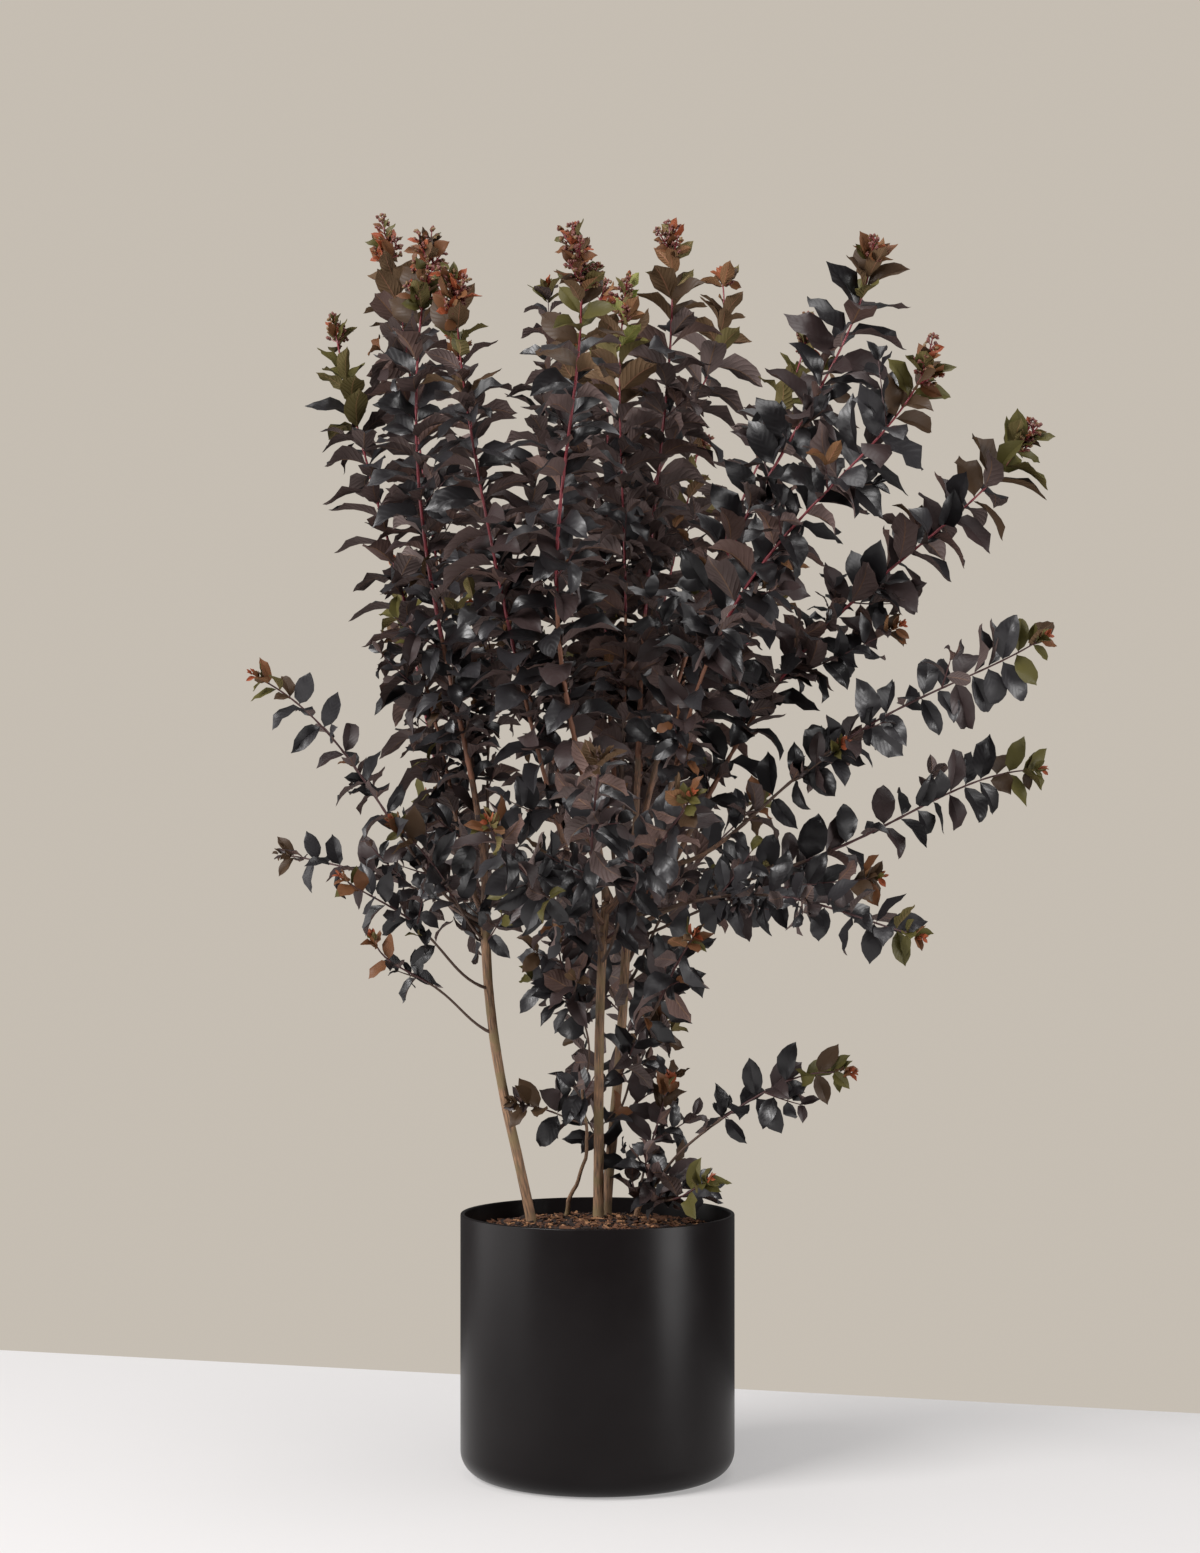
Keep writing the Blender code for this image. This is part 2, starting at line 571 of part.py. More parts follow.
class Foliage:
    """Places every shoot's twigs and leaves so that each mass keeps to its own space."""

    def __init__(self, lines, hard_objects):
        self.spines = {limb.name: Spine(limb, lines[limb.name]) for limb in LIMBS}
        self.leaf = leaf_blank()
        self.hard = [self.surface(obj) for obj in hard_objects]
        self.twigs = {limb.name: side_twigs(limb, self.spines[limb.name]) for limb in LIMBS}
        self.main_points = {name: fill_points(spine.places) for name, spine in self.spines.items()}
        self.keep_free_twigs()
        self.all_points = {limb.name: self.own_points(limb) for limb in LIMBS}

    @staticmethod
    def surface(obj):
        """Search tree of an object's surface, in world space."""
        mesh = evaluated_mesh(obj)
        places = [obj.matrix_world @ vertex.co for vertex in mesh.vertices]
        faces = [tuple(face.vertices) for face in mesh.polygons]
        bpy.data.meshes.remove(mesh)
        return BVHTree.FromPolygons(places, faces)

    def own_points(self, limb):
        """Points of the shoot and of its side twigs."""
        points = list(self.main_points[limb.name])
        for places in self.twigs[limb.name]:
            points += fill_points(places)
        return points

    def others(self, name, table):
        """Search tree of every other shoot's points."""
        return twig_tree([point for other, points in table.items() if other != name for point in points])

    def keep_free_twigs(self):
        """Drop the side twigs that come near a limb or another shoot."""
        for limb in LIMBS:
            rest = self.others(limb.name, self.main_points)
            own = twig_tree(self.main_points[limb.name])
            kept = []
            for places in self.twigs[limb.name]:
                outer = fill_points(places)[TWIG_FREE_FROM:]
                near_hard = any(tree.find_nearest(p, TWIG_CLEAR)[0] for p in outer for tree in self.hard)
                near_rest = any(rest.find(p)[2] < own.find(p)[2] + TWIG_CLEAR for p in outer)
                if not near_hard and not near_rest:
                    kept.append(places)
            self.twigs[limb.name] = kept

    def fits(self, matrix, own, rest):
        """Whether a leaf keeps to its own space and clear of every limb."""
        for point in leaf_points(matrix):
            if rest.find(point)[2] < own.find(point)[2] + SPACE_MARGIN:
                return False
            if any(tree.find_nearest(point, LEAF_CLEAR)[0] for tree in self.hard):
                return False
        blade = self.blade(matrix)
        return not any(blade.overlap(tree) for tree in self.hard)

    def blade(self, matrix):
        """Search tree of one leaf's faces."""
        places = [matrix @ vertex.co for vertex in self.leaf.vertices]
        return BVHTree.FromPolygons(places, [tuple(face.vertices) for face in self.leaf.polygons])

    def try_leaf(self, spot, size, draw, own, rest):
        """Find a direction in which a leaf fits, or return None."""
        place, along, turn, lean = spot
        for attempt in range(LEAF_TRIES):
            swing = turn + TRY_TURN * attempt * (1 if attempt % 2 else -1)
            out = lean * draw.uniform(1.0 - OUT_SPREAD, 1.0 + OUT_SPREAD)
            roll = LEAF_ROLL * draw.uniform(-1.0, 1.0)
            scale = size * (1.0 - TRY_SHRINK * attempt)
            matrix = leaf_matrix(place, along, swing, out, roll, scale)
            if self.fits(matrix, own, rest):
                return matrix
        return None

    def spots(self, limb):
        """Where leaves stand: pairs up the shoot, a young pair at its end, and those of its twigs."""
        spine = self.spines[limb.name]
        line = spine.line
        draw = random.Random(f"{limb.name} leaves")
        run = line.length * (SHOOT_END - spine.leafy)
        pairs = max(2, int(run / PAIR_PITCH))
        turn = draw.uniform(0.0, math.tau)
        found = []
        for i in range(pairs):
            share = spine.leafy + (SHOOT_END - spine.leafy) * (i + PAIR_START) / pairs
            turn += PAIR_TURN + draw.uniform(-PAIR_STRAY, PAIR_STRAY)
            size = LEAF_LENGTH * draw.uniform(1.0 - SIZE_SPREAD, 1.0 + SIZE_SPREAD)
            size *= 1.0 - TOP_SHRINK * share ** 4
            for half in (0, 1):
                level = share + half * PAIR_OFFSET / line.length
                found.append(((spine.point(level), line.along(level), turn + math.pi * half, LEAF_OUT), size))
        for half, level in enumerate(TIP_LEVELS):
            spot = (spine.point(level), line.along(level), turn + PAIR_TURN + math.pi * half, TIP_OUT)
            found.append((spot, LEAF_LENGTH * TIP_SIZE))
        for _, root, tip in self.twigs[limb.name]:
            along = (tip - root).normalized()
            for share, side in TWIG_LEAVES:
                spot = (root.lerp(tip, share), along, turn + side, LEAF_OUT)
                found.append((spot, LEAF_LENGTH * TWIG_LEAF_SIZE))
        return found, draw

    def leaves(self, limb):
        """Matrices of the leaves that fit on one shoot."""
        own = twig_tree(self.all_points[limb.name])
        rest = self.others(limb.name, self.all_points)
        spots, draw = self.spots(limb)
        placed = [self.try_leaf(spot, size, draw, own, rest) for spot, size in spots]
        return [matrix for matrix in placed if matrix]


def is_closed(mesh):
    """Whether every edge joins exactly two faces."""
    shape = bmesh.new()
    shape.from_mesh(mesh)
    closed = len(shape.faces) > 0 and all(len(edge.link_faces) == 2 for edge in shape.edges)
    shape.free()
    return closed


def biggest_body(mesh):
    """Keep only the outer skin of the largest body, so sealed hollows fill and scraps go."""
    shape = bmesh.new()
    shape.from_mesh(mesh)
    waiting = set(shape.faces)
    bodies = []
    while waiting:
        body = [waiting.pop()]
        for face in body:
            for edge in face.edges:
                for other in edge.link_faces:
                    if other in waiting:
                        waiting.remove(other)
                        body.append(other)
        bodies.append(body)
    bodies.sort(key=len)
    scraps = [face for body in bodies[:-1] for face in body]
    bmesh.ops.delete(shape, geom=scraps, context="FACES")
    shape.to_mesh(mesh)
    shape.free()
    return mesh


def combine(obj, operation, solver, collection=None, cutter=None):
    """Return the mesh of a Boolean with a collection or one cutter."""
    modifier = obj.modifiers.new(operation, "BOOLEAN")
    modifier.operation = operation
    modifier.solver = solver
    if collection:
        modifier.operand_type = "COLLECTION"
        modifier.collection = collection
    else:
        modifier.object = cutter
    mesh = evaluated_mesh(obj)
    obj.modifiers.remove(modifier)
    return mesh


def replace_mesh(obj, mesh):
    """Give an object a new mesh with the old one's materials."""
    old = obj.data
    mesh.materials.clear()
    for material in old.materials:
        mesh.materials.append(material)
    obj.data = mesh
    bpy.data.meshes.remove(old)


def fuse(obj, blades):
    """Join a stem with the collection of its twigs and leaves; on failure, with fewer leaves."""
    while True:
        for solver in ("EXACT", "MANIFOLD"):
            mesh = biggest_body(combine(obj, "UNION", solver, collection=blades))
            if is_closed(mesh):
                replace_mesh(obj, mesh)
                return
        bpy.data.objects.remove(blades.objects[-1], do_unlink=True)


def cut_clear(obj, cutter):
    """Cut an object back from its parent, GAP clear."""
    for solver in ("EXACT", "MANIFOLD"):
        mesh = biggest_body(combine(obj, "DIFFERENCE", solver, cutter=cutter))
        if is_closed(mesh):
            replace_mesh(obj, mesh)
            return


# ---------------------------------------------------------------- the plant

def build_stems(lines, collection):
    """Stems and suckers: flared, flat at the ground, tapering to their forks."""
    stems = {}
    for stem in STEMS:
        thin = stem.radius < THIN_STEM
        shares, sides = (THIN_STEM_SHARES, BOUGH_SIDES) if thin else (STEM_SHARES, STEM_SIDES)
        obj = limb_tube(f"stem_{stem.name}", lines[stem.name], shares, collection, sides=sides)
        obj.data.materials.append(make_material(f"{obj.name} {WOOD[0]}", WOOD))
        stems[stem.name] = obj
    return stems


def build_boughs(lines, carriers, collection, cutters):
    """Bare lower parts of the large limbs, each cut clear of what carries it."""
    boughs = {}
    for limb in LIMBS:
        if not limb.bough:
            continue
        shares = even_shares(0.0, limb.bough, BOUGH_STEPS)
        obj = limb_tube(f"bough_{limb.name}", lines[limb.name], shares, collection)
        obj.data.materials.append(make_material(f"{obj.name} {BOUGH_WOOD[0]}", BOUGH_WOOD))
        cut_clear(obj, carriers[limb.parent])
        carriers[limb.name] = grown_copy(obj, cutters)
        boughs[limb.name] = obj
    return boughs


def build_mass(limb, foliage, section, carriers, collection, cutters):
    """One leafy shoot with its side twigs and leaves, fused into one solid."""
    spine = foliage.spines[limb.name]
    obj = limb_tube(f"foliage_{limb.name}", spine.line, spine.shares, collection, section=section)
    obj.data.materials.append(make_material(f"{obj.name} {LEAVES[0]}", LEAVES))
    blades = bpy.data.collections.new(f"growth {limb.name}")
    cutters.children.link(blades)
    for places in foliage.twigs[limb.name]:
        tube("side twig", places, even_shares(TWIG_FOOT_RADIUS, TWIG_TIP_RADIUS, TWIG_STEPS), blades, section)
    for matrix in foliage.leaves(limb):
        leaf = bpy.data.objects.new("leaf", foliage.leaf)
        leaf.matrix_world = matrix
        blades.objects.link(leaf)
    fuse(obj, blades)
    cut_clear(obj, carriers[limb.name if limb.bough else limb.parent])
    for part in list(blades.objects):
        bpy.data.objects.remove(part, do_unlink=True)
    bpy.data.collections.remove(blades)
    return obj


def build():
    """Build the planter and the plant."""
    clear_scene()
    parts = new_collection("potted_crape_myrtle")
    cutters = new_collection("cutters")
    pot = build_pot(parts)
    mix = build_mix(parts)
    section = three_sided_section(cutters)
    lines = all_lines()
    stems = build_stems(lines, parts)
    carriers = {name: grown_copy(obj, cutters) for name, obj in stems.items()}
    boughs = build_boughs(lines, carriers, parts, cutters)
    foliage = Foliage(lines, [pot, mix, *stems.values(), *boughs.values()])
    for limb in LIMBS:
        build_mass(limb, foliage, section, carriers, parts, cutters)
    for obj in parts.objects:
        if obj.type == "MESH" and not obj.name.startswith("foliage"):
            obj.data.shade_smooth()
            obj.data.set_sharp_from_angle(angle=SHARP_FROM)


build()
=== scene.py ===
"""Looks of a potted crape myrtle with near-black leaves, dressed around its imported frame.

Each bare limb gets bark with relief, each mass becomes a leafy shoot with its own finer twigs,
life-size folded leaves and flower buds, and the planter and its bark mix get their surfaces.
"""

import json
import logging
import math
import random
from dataclasses import dataclass, field
from enum import Enum
from typing import Callable, Iterable, Sequence

import bpy
import numpy as np
from mathutils import Matrix, Vector

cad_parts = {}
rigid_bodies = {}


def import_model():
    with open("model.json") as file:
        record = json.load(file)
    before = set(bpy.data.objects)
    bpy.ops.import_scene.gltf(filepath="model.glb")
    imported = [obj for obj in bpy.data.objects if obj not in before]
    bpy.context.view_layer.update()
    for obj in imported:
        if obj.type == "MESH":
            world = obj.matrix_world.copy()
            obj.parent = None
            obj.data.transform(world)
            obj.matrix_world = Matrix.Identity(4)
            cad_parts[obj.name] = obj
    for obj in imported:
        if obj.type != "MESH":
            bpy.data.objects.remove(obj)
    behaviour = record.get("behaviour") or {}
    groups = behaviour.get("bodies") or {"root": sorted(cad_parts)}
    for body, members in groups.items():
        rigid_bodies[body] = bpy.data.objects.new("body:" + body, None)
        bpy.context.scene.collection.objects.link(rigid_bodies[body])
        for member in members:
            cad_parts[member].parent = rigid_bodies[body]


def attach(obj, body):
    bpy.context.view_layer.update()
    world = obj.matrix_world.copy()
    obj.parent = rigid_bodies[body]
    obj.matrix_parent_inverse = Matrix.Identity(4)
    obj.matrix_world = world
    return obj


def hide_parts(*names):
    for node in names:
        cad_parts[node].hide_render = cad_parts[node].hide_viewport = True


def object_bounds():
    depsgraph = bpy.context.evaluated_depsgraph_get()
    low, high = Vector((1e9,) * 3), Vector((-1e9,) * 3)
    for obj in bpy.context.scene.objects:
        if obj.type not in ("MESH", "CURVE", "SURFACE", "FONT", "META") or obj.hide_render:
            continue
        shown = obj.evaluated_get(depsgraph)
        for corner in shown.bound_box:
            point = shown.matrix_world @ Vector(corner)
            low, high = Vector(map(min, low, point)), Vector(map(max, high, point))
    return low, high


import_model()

CAD_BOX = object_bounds()
LOG = logging.getLogger("potted_crape_myrtle")
UP = Vector((0.0, 0.0, 1.0))
QUARTER = math.radians(90)
Colour = tuple[float, float, float]
Place = tuple[float, float, float]
Span = tuple[float, float]


# ---------------------------------------------------------------- the plant's own lines

@dataclass(frozen=True)
class Limb:
    """One line of growth from a parent's middle line to `tip`, bowed off its chord.

    It leaves its parent at the share `at` of the parent's length. Its first part, up to the share
    `bough`, is a bare limb; the rest is a leafy shoot with leaves from the share `leafy` on.
    """

    name: str
    parent: str
    at: float
    tip: Place
    bow: Place
    bough: float
    leafy: float
    radius: float


@dataclass(frozen=True)
class Stem:
    """A main stem from its foot (x, y) in the potting mix to its fork at `tip`; `kink` is its zigzag."""

    name: str
    foot: Span
    tip: Place
    bow: Place
    radius: float
    tip_radius: float
    kink: float = 0.0


STEMS = (
    Stem("left", (-0.086, 0.02), (-0.146, 0.0, 0.738), (-0.007, -0.013, -0.011), 0.0063, 0.0062),
    Stem("centre", (0.001, 0.05), (0.011, 0.03, 0.74), (-0.002, -0.004, -0.004), 0.0068, 0.0056),
    Stem("back", (0.011, 0.11), (0.045, 0.13, 0.752), (0.001, 0.002, 0.0), 0.0068, 0.0060),
    Stem("crooked_sucker", (-0.042, 0.07), (-0.02, 0.03, 0.5), (0.007, 0.016, 0.01), 0.0028, 0.0018, 0.0028),
    Stem("right_sucker", (0.051, 0.06), (0.078, 0.035, 0.372), (-0.005, -0.006, -0.004), 0.0036, 0.0026),
)

LIMBS = (
    # on the left stem
    Limb("left_leader", "left", 1.0, (-0.208, -0.1, 1.598), (-0.011, -0.038, -0.038), 0.19, 0.12, 0.0046),
    Limb("left_outer", "left", 0.965, (-0.355, 0.1, 1.527), (-0.001, -0.001, -0.004), 0.17, 0.14, 0.0038),
    Limb("left_inner", "left_leader", 0.13, (-0.292, 0.12, 1.663), (0.001, 0.0, 0.005), 0.0, 0.08, 0.003),
    Limb("left_short", "left_leader", 0.05, (-0.162, 0.06, 1.126), (0.007, 0.012, 0.02), 0.0, 0.3, 0.0026),
    Limb("left_arm", "left", 0.94, (-0.427, -0.12, 1.025), (-0.005, 0.008, 0.018), 0.0, 0.22, 0.0027),
    Limb("left_low_back", "left", 0.915, (-0.419, 0.12, 0.803), (0.021, 0.02, 0.012), 0.0, 0.2, 0.0024),
    Limb("left_low_front", "left", 0.74, (-0.315, -0.15, 0.771), (0.004, 0.012, 0.008), 0.0, 0.33, 0.0023),
    Limb("left_lowest", "left", 0.6, (-0.285, -0.05, 0.693), (0.005, 0.005, -0.005), 0.0, 0.42, 0.0022),
    Limb("left_tuft", "left", 0.885, (-0.255, -0.06, 0.84), (0.006, 0.01, 0.008), 0.0, 0.24, 0.0022),
    # on the centre stem
    Limb("centre_leader", "centre", 1.0, (-0.03, -0.35, 1.546), (-0.028, -0.041, -0.01), 0.14, 0.12, 0.0046),
    Limb("centre_left", "centre", 0.93, (-0.173, -0.25, 1.512), (-0.031, -0.033, -0.026), 0.17, 0.13, 0.0038),
    Limb("right_leader", "centre", 0.965, (0.346, -0.15, 1.566), (-0.015, -0.028, -0.001), 0.26, 0.2, 0.0044),
    Limb("right_inner", "right_leader", 0.19, (0.281, 0.06, 1.521), (-0.006, -0.01, 0.004), 0.0, 0.1, 0.003),
    Limb("right_second", "right_leader", 0.07, (0.406, -0.3, 1.425), (-0.028, -0.05, -0.012),
         0.2, 0.16, 0.0036),
    Limb("right_long", "centre", 0.875, (0.576, 0.05, 1.378), (-0.014, -0.04, -0.01), 0.24, 0.2, 0.0042),
    Limb("right_middle", "right_long", 0.15, (0.557, -0.12, 1.073), (-0.006, -0.021, -0.013),
         0.15, 0.12, 0.003),
    Limb("front_left", "centre", 0.9, (-0.128, -0.33, 0.837), (-0.012, -0.012, -0.01), 0.0, 0.18, 0.0026),
    Limb("front", "centre", 0.85, (0.003, -0.42, 0.911), (-0.01, -0.012, -0.008), 0.0, 0.16, 0.0026),
    Limb("front_right", "centre", 0.815, (0.108, -0.38, 0.866), (-0.006, -0.01, -0.006), 0.0, 0.16, 0.0026),
    # on the back stem
    Limb("back_right", "back", 1.0, (0.096, 0.2, 1.678), (-0.001, 0.001, 0.012), 0.2, 0.16, 0.0048),
    Limb("back_left", "back", 0.965, (-0.001, 0.3, 1.603), (-0.012, -0.01, 0.004), 0.18, 0.15, 0.004),
    Limb("back_gold", "back_left", 0.13, (0.042, 0.14, 1.587), (0.006, 0.002, -0.008), 0.0, 0.12, 0.0028),
    Limb("back_bent", "back_left", 0.12, (0.175, 0.38, 1.64), (-0.05, -0.055, -0.002), 0.0, 0.1, 0.003),
    Limb("right_low", "back", 0.885, (0.591, 0.15, 0.918), (-0.006, 0.001, -0.011), 0.14, 0.12, 0.0034),
    Limb("right_drooping", "back", 0.925, (0.389, -0.22, 0.704), (-0.028, -0.039, -0.024), 0.0, 0.18, 0.003),
    Limb("right_small", "back", 0.85, (0.361, 0.0, 0.773), (-0.015, -0.021, -0.013), 0.0, 0.25, 0.0026),
    Limb("right_front_low", "back", 0.54, (0.118, -0.19, 0.7), (0.012, 0.008, 0.002), 0.0, 0.24, 0.0025),
    # behind, out of the front view
    Limb("rear_left", "back", 0.9, (-0.209, 0.35, 1.549), (-0.03, -0.04, -0.02), 0.16, 0.13, 0.004),
    Limb("rear", "back", 0.855, (-0.033, 0.44, 1.55), (-0.01, -0.012, -0.006), 0.0, 0.13, 0.0034),
    Limb("rear_right", "back", 0.815, (0.149, 0.45, 1.421), (-0.01, -0.02, -0.01), 0.0, 0.14, 0.0034),
    Limb("rear_far_right", "back", 0.77, (0.278, 0.42, 1.23), (-0.02, -0.03, -0.014), 0.0, 0.16, 0.0032),
    Limb("rear_far_left", "left", 0.85, (-0.284, 0.3, 1.217), (-0.006, -0.01, -0.004), 0.0, 0.15, 0.003),
    Limb("rear_low_left", "left", 0.79, (-0.238, 0.36, 0.882), (0.01, 0.014, 0.008), 0.0, 0.2, 0.0026),
    Limb("rear_low_right", "back", 0.7, (0.234, 0.42, 0.883), (-0.014, -0.02, -0.012), 0.0, 0.18, 0.0028),
    Limb("rear_low", "back", 0.62, (0.004, 0.46, 0.695), (-0.006, -0.01, -0.006), 0.0, 0.2, 0.0026),
    # short growth near the ground
    Limb("low_right_tuft", "back", 0.3, (0.088, 0.205, 0.58), (-0.004, -0.008, -0.004), 0.0, 0.25, 0.0022),
    Limb("crooked_top", "crooked_sucker", 1.0, (-0.05, -0.06, 0.69), (0.017, 0.014, 0.003), 0.0, 0.1, 0.0017),
    Limb("crooked_side", "crooked_sucker", 0.72, (-0.098, -0.01, 0.482), (0.004, 0.006, 0.004),
         0.0, 0.25, 0.0016),
    Limb("right_sucker_tuft", "right_sucker", 0.55, (0.136, -0.07, 0.388), (0.004, 0.006, 0.004),
         0.0, 0.2, 0.0024),
    Limb("right_sucker_arm", "right_sucker", 1.0, (0.315, -0.08, 0.525), (-0.025, -0.032, -0.03),
         0.0, 0.28, 0.0024),
    Limb("upright_sucker", "right_sucker", 0.25, (0.093, 0.075, 0.498), (-0.003, -0.002, 0.0),
         0.0, 0.25, 0.002),
)


class Habit(Enum):
    """How a shoot grows: a tall wand, a leaning one, a flat side shoot, a slender arm, or low growth."""

    WAND = "wand"
    LEANING = "leaning"
    SIDE = "side"
    ARM = "arm"
    LOW = "low"


class TipLook(Enum):
    """Colour of the youngest leaves at a shoot's end."""

    DARK = "dark"
    COPPER = "copper"
    GREEN = "green"
    GOLD = "gold"


@dataclass(frozen=True)
class Look:
    """Habit of a shoot, its young leaves' colour, and its sprays of flower buds.

    `buds` is the length of the spray at its end, `sprays` the number of smaller ones beside it,
    `flush` how much further than usual the young colours reach down, and `spacing` how far apart
    its leaves stand, as a share of the habit's pitch.
    """

    habit: Habit
    tip: TipLook
    buds: float = 0.0
    sprays: int = 0
    flush: float = 0.0
    spacing: float = 1.0

    @property
    def tall(self) -> bool:
        """Whether the shoot is an upright or a leaning wand."""
        return self.habit in (Habit.WAND, Habit.LEANING)


LOOKS = {
    "left_leader": Look(Habit.WAND, TipLook.COPPER, 0.040, 6, 0.01),
    "left_outer": Look(Habit.WAND, TipLook.GREEN, 0.045, 1, 0.01),
    "left_inner": Look(Habit.WAND, TipLook.COPPER, 0.062, 2, -0.01),
    "left_short": Look(Habit.SIDE, TipLook.COPPER),
    "left_arm": Look(Habit.ARM, TipLook.COPPER),
    "left_low_back": Look(Habit.ARM, TipLook.DARK),
    "left_low_front": Look(Habit.ARM, TipLook.COPPER),
    "left_lowest": Look(Habit.ARM, TipLook.COPPER),
    "left_tuft": Look(Habit.LOW, TipLook.COPPER),
    "centre_leader": Look(Habit.WAND, TipLook.COPPER, 0.034, 5, 0.04),
    "centre_left": Look(Habit.WAND, TipLook.COPPER, 0.022, 4, 0.0),
    "right_leader": Look(Habit.LEANING, TipLook.COPPER, 0.022, 1, -0.01),
    "right_inner": Look(Habit.WAND, TipLook.GREEN, 0.050, 2, 0.0),
    "right_second": Look(Habit.LEANING, TipLook.COPPER, 0.050, 2, 0.0),
    "right_long": Look(Habit.LEANING, TipLook.GREEN, 0.036, 2, 0.0),
    "right_middle": Look(Habit.SIDE, TipLook.GREEN),
    "front_left": Look(Habit.LOW, TipLook.COPPER),
    "front": Look(Habit.LOW, TipLook.DARK),
    "front_right": Look(Habit.LOW, TipLook.GREEN),
    "back_right": Look(Habit.WAND, TipLook.COPPER, 0.028, 3, 0.035),
    "back_left": Look(Habit.WAND, TipLook.COPPER, 0.0, 1, 0.03, 1.3),
    "back_gold": Look(Habit.WAND, TipLook.GOLD, 0.030, 4, 0.02, 1.1),
    "back_bent": Look(Habit.WAND, TipLook.COPPER, 0.0, 1, 0.03),
    "right_low": Look(Habit.SIDE, TipLook.GREEN),
    "right_drooping": Look(Habit.LOW, TipLook.GREEN),
    "right_small": Look(Habit.LOW, TipLook.GREEN),
    "right_front_low": Look(Habit.LOW, TipLook.COPPER),
    "rear_left": Look(Habit.WAND, TipLook.COPPER, 0.045, 2, 0.0, 1.3),
    "rear": Look(Habit.WAND, TipLook.COPPER, spacing=1.5),
    "rear_right": Look(Habit.WAND, TipLook.GREEN, 0.040, 1, 0.02, 1.4),
    "rear_far_right": Look(Habit.WAND, TipLook.COPPER, spacing=1.25),
    "rear_far_left": Look(Habit.WAND, TipLook.GREEN, spacing=1.2),
    "rear_low_left": Look(Habit.SIDE, TipLook.COPPER),
    "rear_low_right": Look(Habit.SIDE, TipLook.GREEN),
    "rear_low": Look(Habit.LOW, TipLook.COPPER),
    "low_right_tuft": Look(Habit.LOW, TipLook.COPPER),
    "crooked_top": Look(Habit.LOW, TipLook.DARK),
    "crooked_side": Look(Habit.LOW, TipLook.DARK),
    "right_sucker_tuft": Look(Habit.LOW, TipLook.GREEN),
    "right_sucker_arm": Look(Habit.LOW, TipLook.GREEN),
    "upright_sucker": Look(Habit.LOW, TipLook.COPPER),
}


def bow_at(bow: Sequence[float], share: float) -> float:
    """Smooth offset of a limb from its chord.

    Args:
        bow: Offsets at a quarter, a half and three quarters of the length.
        share: Where along the length the offset is wanted.

    Returns:
        The offset in metres, zero at both ends.
    """
    stations = (0.0, 0.25, 0.5, 0.75, 1.0)
    total = 0.0
    for offset, own in zip(bow, stations[1:4]):
        weight = 1.0
        for other in stations:
            if other != own:
                weight *= (share - other) / (own - other)
        total += offset * weight
    return total


def even_shares(start: float, end: float, steps: int) -> list[float]:
    """Evenly spaced shares.

    Args:
        start: The first share.
        end: The last share.
        steps: How many equal steps lie between them.

    Returns:
        The shares, both ends included.
    """
    return [start + (end - start) * i / steps for i in range(steps + 1)]


class Line:
    """A limb's middle line with its radius, both by share of its length.

    A limb stands off its parent by `FORK_SPREAD` at `FORK_REACH` from its foot, arches in depth by
    `DEPTH_ARCH` of its lean, and a root flare dies away over `FLARE_HEIGHT`.
    """

    FORK_SPREAD = 0.009
    FORK_REACH = 0.050
    DEPTH_ARCH = 0.10
    FLARE_HEIGHT = 0.022
    FEEL = 0.01

    def __init__(self, foot: Sequence[float], tip: Sequence[float], bow: Sequence[float],
                 foot_radius: float, tip_radius: float, flare: float = 0.0,
                 away_from: Vector | None = None) -> None:
        """Keep the ends, the bow and the taper, and work out how the foot leaves its parent."""
        self.foot = Vector(foot)
        self.tip = Vector(tip)
        self.bow = bow
        self.foot_radius = foot_radius
        self.tip_radius = tip_radius
        self.flare = flare
        chord = self.tip - self.foot
        self.length = chord.length
        self.side = Vector((chord.z, 0.0, -chord.x)).normalized()
        self.lean = chord.y
        self.away = Vector()
        if away_from:
            self.away = (chord - away_from * chord.dot(away_from)).normalized() * self.FORK_SPREAD

    def point(self, share: float) -> Vector:
        """Place on the middle line at a share of its length."""
        place = self.foot.lerp(self.tip, share) + self.side * bow_at(self.bow, share)
        place.y += self.DEPTH_ARCH * self.lean * 4.0 * share * (1.0 - share)
        reach = share * self.length / self.FORK_REACH
        return place + self.away * (reach * math.exp(1.0 - reach))

    def along(self, share: float) -> Vector:
        """Direction of growth at a share of the length."""
        low, high = max(0.0, share - self.FEEL), min(1.0, share + self.FEEL)
        return (self.point(high) - self.point(low)).normalized()

    def radius(self, share: float) -> float:
        """Half thickness at a share of the length, root flare included."""
        plain = self.foot_radius + (self.tip_radius - self.foot_radius) * share
        return plain * (1.0 + self.flare * math.exp(-share * self.length / self.FLARE_HEIGHT))


class Skeleton:
    """Every stem's and limb's line, parents first."""

    MIX_TOP = 0.322
    GAP = 0.0003
    FLARE = 0.15
    SHOOT_TIP_RADIUS = 0.0012

    def __init__(self) -> None:
        """Work out all the lines."""
        self.lines: dict[str, Line] = {}
        for stem in STEMS:
            foot = (*stem.foot, self.MIX_TOP + self.GAP)
            self.lines[stem.name] = Line(foot, stem.tip, stem.bow, stem.radius, stem.tip_radius, self.FLARE)
        for limb in LIMBS:
            parent = self.lines[limb.parent]
            way = parent.along(limb.at) if limb.at < 1.0 else None
            self.lines[limb.name] = Line(parent.point(limb.at), limb.tip, limb.bow, limb.radius,
                                         self.SHOOT_TIP_RADIUS, away_from=way)


# ---------------------------------------------------------------- bench tools

def deselect() -> None:
    """Leave edit mode and select nothing."""
    if bpy.context.mode != "OBJECT":
        bpy.ops.object.mode_set(mode="OBJECT")
    bpy.ops.object.select_all(action="DESELECT")


def pick(obj: bpy.types.Object) -> None:
    """Make an object the active one and the only one selected."""
    deselect()
    bpy.context.view_layer.objects.active = obj
    obj.select_set(True)


